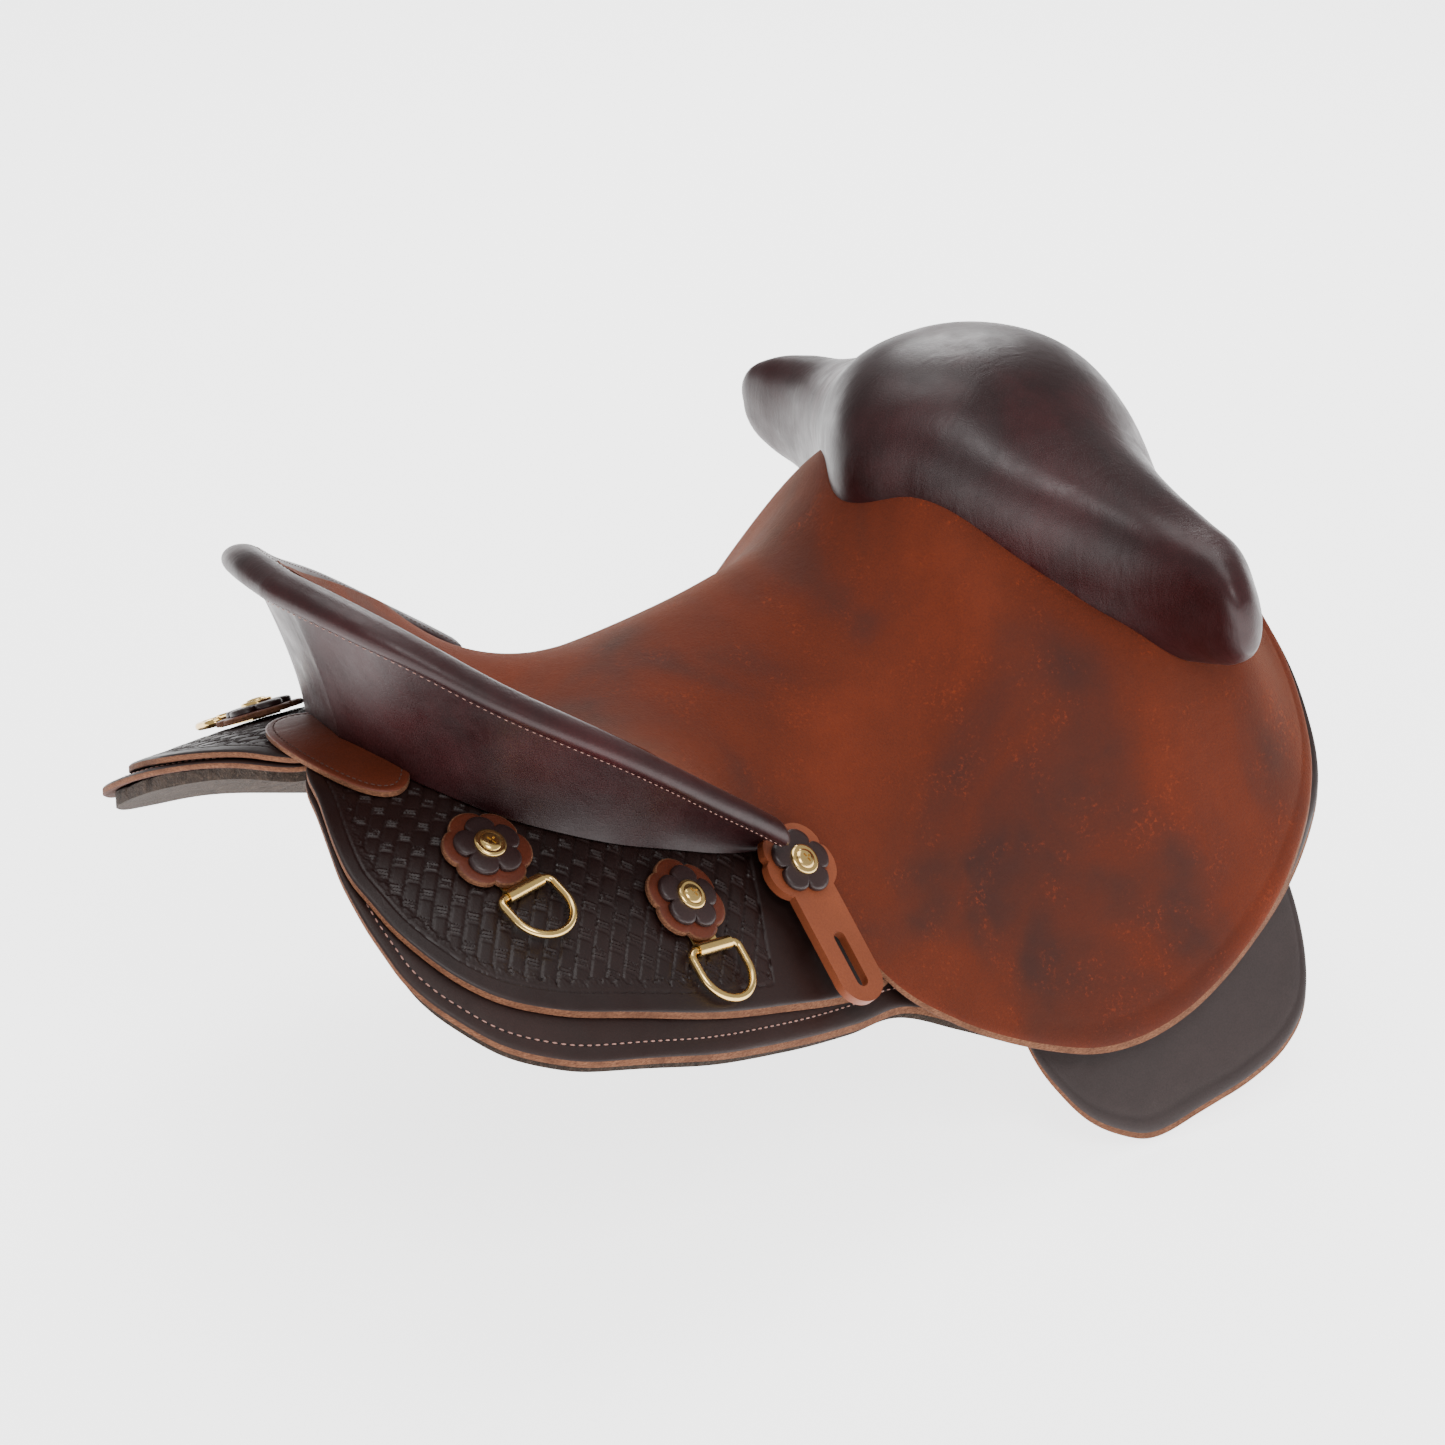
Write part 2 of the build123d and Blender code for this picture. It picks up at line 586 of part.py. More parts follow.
def clip():
    """Brass strap under the rosette, rolled round the dee's straight bar."""
    tube = Rot(90, 0, 0) * (Cylinder(clip_outer, clip_length) - Cylinder(clip_bore, clip_length + 2))
    tube = Pos(clip_drop, 0, clip_outer) * tube
    tail = Pos(0, 0, 0) * Box(clip_drop + 9, clip_length * 0.7, clip_wall,
                              align=(Align.MIN, Align.CENTER, Align.MIN))
    tail = Pos(-9, 0, 0) * tail - Cylinder(screw_radius + screw_clearance, 20)
    bore = Pos(clip_drop, 0, clip_outer) * (Rot(90, 0, 0) * Cylinder(clip_bore, clip_length + 2))
    return tube + (tail - bore)


def dee():
    """Dee ring: a straight bar along Y and a round bow down the slope, from one wire."""
    centre = Vector(clip_drop, 0, clip_outer)
    straight = 9.0
    corner = 4.5
    path = Wire([
        Edge.make_line((0, -dee_half + corner, 0), (0, dee_half - corner, 0)),
        Edge.make_three_point_arc((0, dee_half - corner, 0),
                                  (corner * (1 - math.sqrt(0.5)), dee_half - corner *
                                   (1 - math.sqrt(0.5)), 0), (corner, dee_half, 0)),
        Edge.make_line((corner, dee_half, 0), (straight + corner, dee_half, 0)),
        Edge.make_three_point_arc((straight + corner, dee_half, 0),
                                  (straight + corner + dee_half, 0, 0),
                                  (straight + corner, -dee_half, 0)),
        Edge.make_line((straight + corner, -dee_half, 0), (corner, -dee_half, 0)),
        Edge.make_three_point_arc((corner, -dee_half, 0),
                                  (corner * (1 - math.sqrt(0.5)), -dee_half + corner *
                                   (1 - math.sqrt(0.5)), 0), (0, -dee_half + corner, 0)),
    ])
    ring = sweep(Plane(origin=(0, 0, 0), z_dir=(0, 1, 0)) * Circle(dee_wire), path)
    return Pos(centre.X, centre.Y, centre.Z) * ring


def keeper():
    """Hanging keeper: a flower-shaped head on the screw and a strap with a slot."""
    head = flower(base_radius * 0.98, 5, 3.4, keeper_thickness, screw_radius + screw_clearance)
    strap_end = keeper_length - base_radius - keeper_width / 2
    strap = Pos(0, 0, 0) * Box(strap_end, keeper_width, keeper_thickness,
                               align=(Align.MIN, Align.CENTER, Align.MIN))
    strap = strap + Pos(strap_end, 0, 0) * Cylinder(
        keeper_width / 2, keeper_thickness, align=(Align.CENTER, Align.CENTER, Align.MIN))
    slot_middle = strap_end + keeper_width / 2 - 9 - slot_length / 2
    slot = Pos(slot_middle, 0, 0) * extrude(SlotOverall(slot_length, slot_width), 40, both=True)
    hole = Cylinder(screw_radius + screw_clearance, 60)
    return head + strap - slot - hole


def rosette(name, x, y, turn, side):
    """One rosette with its dee: clip on the leather, base, flower and screw above it."""
    at = place_on(barrel, jockey_top, x, side * y, side * turn).location
    base_z = clip_wall + sheet_gap / 2
    flower_z = base_z + base_thickness + 0.1
    cap_z = flower_z + flower_thickness + 0.1
    label = "left" if side > 0 else "right"
    return {
        "dee_clip_%s_%s" % (name, label): at * (Pos(0, 0, 0.1) * clip()),
        "dee_ring_%s_%s" % (name, label): at * (Pos(0, 0, 0.1) * dee()),
        "rosette_base_%s_%s" % (name, label): at * (Pos(0, 0, base_z + 0.1) * flower(
            base_radius, 6, 3.0, base_thickness, screw_radius + screw_clearance)),
        "rosette_flower_%s_%s" % (name, label): at * (Pos(0, 0, flower_z + 0.1) * flower(
            flower_radius, 5, 3.6, flower_thickness, screw_radius + screw_clearance)),
        "rosette_screw_%s_%s" % (name, label): at * (Pos(0, 0, cap_z + 0.1) * screw(
            cap_z + jockey_thickness + skirt_thickness)),
        "rosette_nut_%s_%s" % (name, label): at * (Pos(0, 0, jockey_top - skirt_bottom - 0.1) * nut(
            skirt_thickness - 0.4)),
    }


def keeper_set(x, y, turn, side):
    at = place_on(barrel, cover_top - keeper_lift, x, side * y, side * turn).location
    label = "left" if side > 0 else "right"
    flower_z = keeper_thickness + hinge_gap / 2
    cap_z = flower_z + flower_thickness + 0.1
    return {
        "keeper_" + label: at * keeper(),
        "keeper_flower_" + label: at * (Pos(0, 0, flower_z) * flower(
            flower_radius, 5, 3.6, flower_thickness, screw_radius + screw_clearance)),
        "keeper_screw_" + label: at * (Pos(0, 0, cap_z) * screw(cap_z + keeper_lift + 8.5)),
    }


def build():
    """Every node of the saddle, by name."""
    known = tree_bars() | skirts() | rear_jockeys() | seat_leather() | seat_inside()
    known |= patch() | sweat_flaps()
    backing = cantle(known)
    known |= backing | cantle_roll(backing) | swell(known)
    for side in (1, -1):
        for name, (x, y, turn) in rosettes.items():
            known |= rosette(name, x, y, turn, side)
        known |= keeper_set(*keeper_at, side)
    return known


os.makedirs("parts", exist_ok=True)
nodes = build()
for node, piece in nodes.items():
    export_step(piece, "parts/%s.step" % node)
print(len(nodes), "nodes")
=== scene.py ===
import math

import bpy
import numpy as np
from bpy.props import FloatProperty, FloatVectorProperty, IntProperty, PointerProperty
from mathutils import Matrix, Vector, geometry


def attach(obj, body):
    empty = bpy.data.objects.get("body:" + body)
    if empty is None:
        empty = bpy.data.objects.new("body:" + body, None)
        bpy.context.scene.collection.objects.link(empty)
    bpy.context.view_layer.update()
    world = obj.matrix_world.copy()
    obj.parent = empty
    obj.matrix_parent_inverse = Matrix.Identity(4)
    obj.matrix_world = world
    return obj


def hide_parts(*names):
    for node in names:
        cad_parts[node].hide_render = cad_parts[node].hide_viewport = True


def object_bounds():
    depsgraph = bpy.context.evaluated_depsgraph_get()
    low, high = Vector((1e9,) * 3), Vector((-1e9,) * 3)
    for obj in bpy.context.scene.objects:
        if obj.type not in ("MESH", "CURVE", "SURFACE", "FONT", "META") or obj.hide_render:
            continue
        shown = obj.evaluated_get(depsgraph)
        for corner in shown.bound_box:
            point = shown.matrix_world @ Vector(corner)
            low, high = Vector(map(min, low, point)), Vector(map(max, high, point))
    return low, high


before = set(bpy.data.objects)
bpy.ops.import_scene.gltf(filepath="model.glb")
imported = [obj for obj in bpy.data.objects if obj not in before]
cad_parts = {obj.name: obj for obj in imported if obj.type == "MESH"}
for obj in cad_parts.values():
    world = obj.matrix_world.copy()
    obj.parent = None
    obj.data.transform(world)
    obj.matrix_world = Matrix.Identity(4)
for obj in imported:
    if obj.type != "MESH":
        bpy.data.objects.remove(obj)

bl_info = {
    "name": "Stock Saddle",
    "version": (1, 0, 0),
    "blender": (4, 5, 0),
    "location": "View3D > Sidebar > Saddle",
    "description": "Leather, felt, stitching and brass of a stock saddle",
    "category": "Object",
}

CAD_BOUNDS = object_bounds()
MM = 0.001
LEFT, RIGHT = 1, -1
SIDES = ((LEFT, "left"), (RIGHT, "right"))

# ---- shape of the saddle, in millimetres, as stations along X ----------------
RIDGE = [(-320, 50), (-200, 50), (-120, 44), (-60, 36), (0, 41), (60, 54), (100, 69), (125, 90),
         (145, 112), (180, 116), (260, 102), (350, 80)]
HEM_HALF = [(-320, 314), (-200, 308), (-100, 268), (0, 230), (100, 216), (200, 236), (350, 242)]
CROWN = [(-320, 212), (-200, 212), (-100, 170), (0, 130), (350, 130)]
SEAT_LINE = [(-265, 160), (-240, 125), (-210, 89), (-170, 55), (-130, 38), (-85, 33), (-30, 38),
             (0, 41), (60, 54)]
CREST = [(-264, 0, 160), (-258, 34, 157), (-241, 66, 144), (-205, 98, 114), (-158, 122, 80),
         (-99, 134, 34), (-56, 137, 0)]
CANTLE_BASE = [(-238, 0), (-232, 28), (-222, 55), (-196, 88), (-150, 113), (-94, 124), (-52, 127)]
HEM_LEVEL = -150.0
BAR_ROOM = 32.0              # how far the skirts dip to pass under the tree bars

# depth of each layer's top below the barrel, square to the leather
HIDE_TOP, HIDE_THICK = -2.5, 4.5
JOCKEY_TOP, JOCKEY_THICK = 2.6, 4.5
SKIRT_TOP, SKIRT_THICK = 8.3, 4.5
FELT_TOP, FELT_THICK = 13.4, 8.5
FLAP_TOP, FLAP_THICK = 22.7, 3.5
PATCH_TOP, PATCH_THICK = -2.2, 4.2
FELT_SET_IN = 7.0            # felt inside the skirt's edge

# ---- plan edges of the left half ---------------------------------------------
HIDE_EDGE = [(-258, 0), (-252, 30), (-236, 59), (-201, 91), (-155, 115), (-99, 127), (-62, 129),
             (-40, 128), (-27, 134), (-26, 150), (-24, 170), (-6, 194), (26, 210), (89, 227),
             (136, 237), (185, 243), (231, 238), (276, 225), (313, 205), (333, 183), (343, 152),
             (338, 120), (326, 90), (314, 66), (304, 55), (293, 60), (300, 82), (311, 106),
             (310, 126), (294, 138), (262, 144), (232, 142), (212, 122), (190, 90), (166, 60),
             (143, 34), (134, 18), (132, 0)]
JOCKEY_OUTER = [(-299, 88), (-298, 106), (-296, 120), (-290, 136), (-280, 153), (-264, 169),
                (-240, 182), (-215, 190), (-155, 198), (-81, 195), (-20, 189), (0, 182), (4, 164)]
JOCKEY_INNER = [(4, 155), (0, 142), (-20, 122), (-50, 112), (-90, 109), (-145, 98), (-188, 72),
                (-206, 42), (-214, 26), (-222, 11), (-228, 4), (-234, 2), (-262, 3), (-268, 7),
                (-274, 17), (-281, 36), (-287, 50), (-294, 68)]
SKIRT_OUTER = [(-305, 110), (-305, 124), (-304, 138), (-300, 150), (-292, 163), (-274, 183),
               (-250, 197), (-226, 205), (-164, 211), (-100, 206), (-39, 198), (0, 193),
               (40, 201), (100, 217), (160, 229), (220, 232), (275, 221), (310, 207), (335, 191),
               (345, 179), (351, 164), (354, 148)]
SKIRT_INNER = [(353, 132), (350, 119), (340, 97), (330, 84), (316, 70), (302, 54), (290, 44),
               (200, 44), (0, 44), (-185, 44), (-200, 36), (-218, 12), (-230, 2), (-250, 2),
               (-262, 3.5), (-270, 9), (-277, 20), (-284, 38), (-292, 58), (-300, 80), (-303, 94)]
FLAP_EDGE = [(89, 181), (150, 181), (220, 181), (293, 181), (296, 198), (296, 214), (289, 231),
             (276, 244), (254, 252), (220, 255), (181, 252), (140, 244), (111, 232), (98, 221),
             (90, 210), (87, 196)]
ROSETTES = {"rear": (-222, 105, -8.0), "mid": (-123, 150, -8.0)}
KEEPER = (-41, 141, -7.0)
KEEPER_LIFT = 2.9            # keeper above the hide, clear of it as it swivels
PATCH_X, PATCH_SHORT, PATCH_LONG = -243, 27, 55

# half width, rear X, front X, top Z, bottom Z, X of the top and X of the bottom
SWELL = [(0, 124, 338, 168, -20, 205, 230), (40, 148, 330, 160, -20, 208, 235),
         (80, 178, 312, 131, -20, 216, 240), (120, 203, 296, 110, -14, 232, 255),
         (155, 219, 286, 95, 0, 243, 263), (182, 224, 276, 89, 8, 244, 262),
         (200, 225, 263, 84, 18, 238, 250), (213, 227, 253, 75, 28, 234, 243),
         (221, 231, 244, 63, 38, 234, 239)]


# ---- surfaces ----------------------------------------------------------------
def smooth(value, low, high):
    t = np.clip((value - low) / (high - low), 0, 1)
    return t * t * (3 - 2 * t)


def along(stations, x):
    """Smooth curve through (x, value) stations, for an array of x."""
    xs = np.array([s[0] for s in stations], float)
    vs = np.array([s[1] for s in stations], float)
    span = np.diff(xs)
    rise = np.diff(vs) / span
    slope = np.concatenate([[rise[0]], (rise[:-1] * span[1:] + rise[1:] * span[:-1])
                            / (span[:-1] + span[1:]), [rise[-1]]])
    x = np.clip(x, xs[0], xs[-1])
    i = np.clip(np.searchsorted(xs, x, "right") - 1, 0, len(xs) - 2)
    t = (x - xs[i]) / span[i]
    a = (2 * t**3 - 3 * t**2 + 1) * vs[i] + (t**3 - 2 * t**2 + t) * span[i] * slope[i]
    return a + (3 * t**2 - 2 * t**3) * vs[i + 1] + (t**3 - t**2) * span[i] * slope[i + 1]


def barrel(x, y):
    """Top of the side leathers: a barrel over the horse's back, waisted at mid length."""
    y = np.abs(y)
    top, radius, half = along(RIDGE, x), along(CROWN, x), along(HEM_HALF, x)
    fall = (top - HEM_LEVEL) / (np.hypot(half, radius) - radius)
    waist = 10 * np.exp(-((x - 95) / 45) ** 2 - ((y - 100) / 45) ** 2)
    flare = 36 * smooth(x, 150, 228) * (1 - smooth(x, 280, 345)) * np.exp(-((y - 158) / 48) ** 2)
    return top - fall * (np.hypot(y, radius) - radius) - waist + flare


def seat(x, y):
    """Top of the seat: a bowl up to the cantle's crest, turning into the barrel forward."""
    half = np.maximum(along([(a, b) for a, b, _ in CREST], x), 30.0)
    edge = along([(a, c) for a, _, c in CREST], x)
    middle = along(SEAT_LINE, x)
    bowl = middle + (edge - middle) * (np.abs(y) / half) ** 2
    blend = smooth(x, -130, -30)
    return bowl * (1 - blend) + barrel(x, y) * blend


def under_bars(x, y):
    """The barrel, dropped where the skirts pass under the tree bars."""
    limit = along([(-235, 25), (-200, 78), (-150, 108), (-90, 122), (0, 125), (260, 122)], x)
    ends = smooth(x, -235, -205) * (1 - smooth(x, 262, 292))
    return barrel(x, y) - BAR_ROOM * ends * (1 - smooth(np.abs(y), limit - 36, limit))


def normal_at(height, x, y, step=0.5):
    dx = (height(x + step, y) - height(x - step, y)) / (2 * step)
    dy = (height(x, y + step) - height(x, y - step)) / (2 * step)
    n = np.stack([-dx, -dy, np.ones_like(dx)], -1)
    return n / np.linalg.norm(n, axis=-1, keepdims=True)


def on_layer(height, x, y, depth):
    """Points of a layer: the plan point stays, and the depth is measured square to the leather."""
    n = normal_at(height, x, y)
    return np.stack([x, y, height(x, y) - depth / n[..., 2]], -1)


def frame_on(height, depth, x, y, turn):
    """Matrix on a layer, in mm: X down the slope, Z out of the leather, turned about Z."""
    ax, ay = np.array([float(x)]), np.array([float(y)])
    n = Vector(normal_at(height, ax, ay)[0])
    at = Vector((x, y, float(height(ax, ay)[0]))) - n * depth
    down = Vector((0, 1 if y > 0 else -1, 0))
    down = (down - n * down.dot(n)).normalized()
    down.rotate(Matrix.Rotation(math.radians(turn), 3, n))
    across = n.cross(down)
    m = Matrix((down, across, n)).transposed().to_4x4()
    m.translation = at
    return m


# ---- plan outlines -----------------------------------------------------------
def round_loop(points, step):
    """Closed smooth curve through points, sampled evenly."""
    p = np.array(points, float)
    n = len(p)
    fine = []
    for i in range(n):
        a, b, c, d = p[i - 1], p[i], p[(i + 1) % n], p[(i + 2) % n]
        ab, bc, cd = (max(np.linalg.norm(v) ** 0.5, 1e-3) for v in (b - a, c - b, d - c))
        m1 = ((b - a) / ab - (c - a) / (ab + bc) + (c - b) / bc) * bc
        m2 = ((c - b) / bc - (d - b) / (bc + cd) + (d - c) / cd) * bc
        t = np.linspace(0, 1, 24, endpoint=False)[:, None]
        fine.append((2 * t**3 - 3 * t**2 + 1) * b + (t**3 - 2 * t**2 + t) * m1
                    + (3 * t**2 - 2 * t**3) * c + (t**3 - t**2) * m2)
    fine = np.concatenate(fine)
    length = np.concatenate([[0], np.cumsum(np.linalg.norm(np.roll(fine, -1, 0) - fine, axis=1))])
    count = max(12, int(length[-1] / step))
    s = np.arange(count) * length[-1] / count
    closed = np.concatenate([fine, fine[:1]])
    return np.stack([np.interp(s, length, closed[:, k]) for k in (0, 1)], -1)


def inward(loop):
    """Unit normals of a closed loop, pointing to its inside."""
    along_edge = np.roll(loop, -1, 0) - np.roll(loop, 1, 0)
    n = np.stack([-along_edge[:, 1], along_edge[:, 0]], -1)
    n /= np.linalg.norm(n, axis=1, keepdims=True)
    area = np.sum(loop[:, 0] * np.roll(loop[:, 1], -1) - np.roll(loop[:, 0], -1) * loop[:, 1])
    return n if area > 0 else -n


def nearest(points, loop):
    """Distance of each point to a loop, and the index of the nearest sample."""
    dist, index = np.empty(len(points)), np.empty(len(points), int)
    for k in range(0, len(points), 4000):
        d = np.linalg.norm(points[k:k + 4000, None] - loop[None], axis=2)
        index[k:k + 4000] = d.argmin(1)
        dist[k:k + 4000] = d.min(1)
    return dist, index


def inside(points, loop):
    a, b = loop, np.roll(loop, -1, 0)
    hit = np.zeros(len(points), bool)
    for k in range(0, len(points), 4000):
        p = points[k:k + 4000]
        crosses = (a[None, :, 1] > p[:, None, 1]) != (b[None, :, 1] > p[:, None, 1])
        at = a[None, :, 0] + (p[:, None, 1] - a[None, :, 1]) * (b - a)[None, :, 0] / (
            (b - a)[None, :, 1] + 1e-12)
        hit[k:k + 4000] = (crosses & (p[:, None, 0] < at)).sum(1) % 2 == 1
    return hit


def ring(loop, depth):
    """The loop moved inwards, without the points where it would cross itself."""
    moved = loop + inward(loop) * depth
    d, _ = nearest(moved, loop)
    return moved[d > depth * 0.94]


# ---- meshes ------------------------------------------------------------------
def piece(name, points, faces, finishes, which=None, soft_angle=40.0):
    """A mesh piece from points in mm, with its finishes and smooth shading."""
    mesh = bpy.data.meshes.new(name)
    mesh.from_pydata((np.asarray(points) * MM).tolist(), [], [list(f) for f in faces])
    mesh.validate()
    obj = bpy.data.objects.new(name, mesh)
    bpy.context.scene.collection.objects.link(obj)
    for finish in finishes:
        mesh.materials.append(finish)
    if which is not None:
        mesh.polygons.foreach_set("material_index", np.asarray(which, np.int32))
    choose(obj)
    bpy.ops.object.shade_smooth_by_angle(angle=math.radians(soft_angle))
    return obj


def choose(*objects):
    bpy.ops.object.select_all(action="DESELECT")
    for obj in objects:
        obj.select_set(True)
    bpy.context.view_layer.objects.active = objects[0]


def settle(obj, body, slot, *nodes):
    """The piece moves with a body and stands for CAD nodes, which it hides. The slot is not used.
    """
    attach(obj, body)
    if nodes:
        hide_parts(*nodes)
    return obj


EDGE_RINGS = (0.45, 1.2, 2.2)


def sheet(name, outline, height, top, thick, spacing, finishes, relief=None, rings=EDGE_RINGS,
          edge_step=3.0, edge_round=1.1, bottom=None):
    """Leather cut to a plan outline and laid on a surface, with eased edges.

    The finishes are those of the face, the cut edge and the underside."""
    loop = round_loop(outline, edge_step)
    low, high = loop.min(0), loop.max(0)
    gx = np.arange(low[0], high[0], spacing)
    gy = np.arange(low[1], high[1], spacing * 0.866)
    grid = np.array([(x + (j % 2) * spacing / 2, y) for j, y in enumerate(gy) for x in gx])
    grid = grid[inside(grid, loop)]
    d, _ = nearest(grid, loop)
    inner = [ring(loop, r) for r in rings]
    grid = grid[d > rings[-1] + min(spacing, edge_step) * 0.6]
    plan = np.concatenate([loop] + inner + [grid])
    n = len(loop)
    edges = [(i, (i + 1) % n) for i in range(n)]
    out = geometry.delaunay_2d_cdt([Vector(p) for p in plan], edges, [], 1, 1e-5)
    plan = np.array([tuple(v) for v in out[0]])
    tris = np.array([f for f in out[2] if len(f) == 3])
    a, b, c = (plan[tris[:, k]] for k in range(3))
    turned = (b - a)[:, 0] * (c - a)[:, 1] - (b - a)[:, 1] * (c - a)[:, 0] < 0
    tris[turned] = tris[turned][:, ::-1]
    d, at = nearest(plan, loop)
    sink = edge_round * (1 - np.sqrt(np.clip(1 - (1 - np.clip(d / 2.2, 0, 1)) ** 2, 0, 1)))
    length = np.concatenate([[0], np.cumsum(np.linalg.norm(np.diff(loop, axis=0), axis=1))])
    extra = relief(plan[:, 0], plan[:, 1], d, length[at]) if relief else 0
    upper = on_layer(height, plan[:, 0], plan[:, 1], top + sink + extra)
    lower = on_layer(bottom or height, plan[:, 0], plan[:, 1], top + thick - sink * 0.7)
    m = len(plan)
    faces = [tuple(t) for t in tris] + [tuple(t[::-1] + m) for t in tris]
    which = [0] * len(tris) + [2] * len(tris)
    count = {}
    for t in tris:
        for k in range(3):
            e = (int(t[k]), int(t[(k + 1) % 3]))
            count[e] = count.get(e, 0) + 1
    rim = [e for e in count if (e[1], e[0]) not in count]
    faces += [(e[1], e[0], e[0] + m, e[1] + m) for e in rim]
    which += [1] * len(rim)
    return piece(name, np.concatenate([upper, lower]), faces, finishes, which, 50)


def mirrored(points):
    return [(x, -y) for x, y in points]


def whole_plan(half):
    """Left half outline from the centre plane and back to it, with its mirror image."""
    return half + [(x, -y) for x, y in reversed(half[1:-1])]


def sew(name, places, out, pitch, finish, long=3.4, thick=1.0, sink=0.25, hole_finish=None):
    """Thread showing along a closed or open row of points: small rounded stitches and, with a hole
    finish, flat dark discs painted as the shade inside the holes.
    """
    places, out = np.asarray(places, float), np.asarray(out, float)
    gap = np.linalg.norm(np.diff(places, axis=0), axis=1)
    length = np.concatenate([[0], np.cumsum(gap)])
    s = np.arange(pitch / 2, length[-1], pitch)

    def read(values, at):
        return np.stack([np.interp(at, length, values[:, k]) for k in range(3)], -1)

    mid, ahead = read(places, s), read(places, s + 0.3) - read(places, s - 0.3)
    n = read(out, s)
    n /= np.linalg.norm(n, axis=1, keepdims=True)
    ahead /= np.maximum(np.linalg.norm(ahead, axis=1, keepdims=True), 1e-9)
    side = np.cross(n, ahead)
    bpy.ops.object.select_all(action="DESELECT")
    bpy.ops.mesh.primitive_uv_sphere_add(segments=8, ring_count=5, radius=0.5,
                                         rotation=(0, math.pi / 2, 0))
    bead = bpy.context.object
    bpy.ops.object.transform_apply(rotation=True)
    shape = np.array([tuple(v.co) for v in bead.data.vertices])
    shape_faces = [tuple(f.vertices) for f in bead.data.polygons]
    bpy.data.objects.remove(bead)
    points, faces, which = [], [], []

    def add(centre, size, index):
        for k in range(len(centre)):
            first = len(points) * len(shape)
            points.append(centre[k] + shape[:, :1] * size[0] * ahead[k]
                          + shape[:, 1:2] * size[1] * side[k] + shape[:, 2:] * size[2] * n[k])
            faces.extend(tuple(i + first for i in f) for f in shape_faces)
            which.extend([index] * len(shape_faces))

    add(mid - n * sink, (long, thick, thick), 0)
    finishes = [finish]
    if hole_finish:
        finishes.append(hole_finish)
        # painted shade: a flat near-black disc between stitches stands for the dark inside of each
        # awl hole
        add(mid - n * (sink + 0.1) + ahead * pitch / 2, (1.5, 1.5, 0.7), 1)
    return piece(name, np.concatenate(points), faces, finishes, which, 60)


def seam_on(outline, height, top, inset, keep=None, step=3.0):
    """Points and normals of a stitch line inside a plan outline, starting after a gap."""
    loop = ring(round_loop(outline, step), inset)
    if keep is not None:
        mask = keep(loop[:, 0], loop[:, 1])
        start = int(np.argmax(~mask))
        loop, mask = np.roll(loop, -start, 0), np.roll(mask, -start)
        loop = loop[mask]
    else:
        loop = np.concatenate([loop, loop[:1]])
    x, y = loop[:, 0], loop[:, 1]
    return on_layer(height, x, y, top), normal_at(height, x, y)


def skin(name, rows, finishes, soft_angle=40.0, wrap=True, caps=True, which=None):
    """Closed skin through rows of points, each row going once round."""
    rows = np.asarray(rows)
    count, n = rows.shape[:2]
    faces, index = [], []
    for i in range(count - 1):
        for j in range(n if wrap else n - 1):
            k = (j + 1) % n
            faces.append((i * n + j, i * n + k, (i + 1) * n + k, (i + 1) * n + j))
            index.append(which(i, j) if which else 0)
    points = rows.reshape(-1, 3)
    if caps:
        faces += [tuple(reversed(range(n))), tuple((count - 1) * n + j for j in range(n))]
        index += [0, 0]
    obj = piece(name, points, faces, finishes, index, soft_angle)
    choose(obj)
    bpy.ops.object.mode_set(mode="EDIT")
    bpy.ops.mesh.select_all(action="SELECT")
    bpy.ops.mesh.remove_doubles(threshold=2e-5)
    bpy.ops.mesh.normals_make_consistent(inside=False)
    bpy.ops.object.mode_set(mode="OBJECT")
    return obj


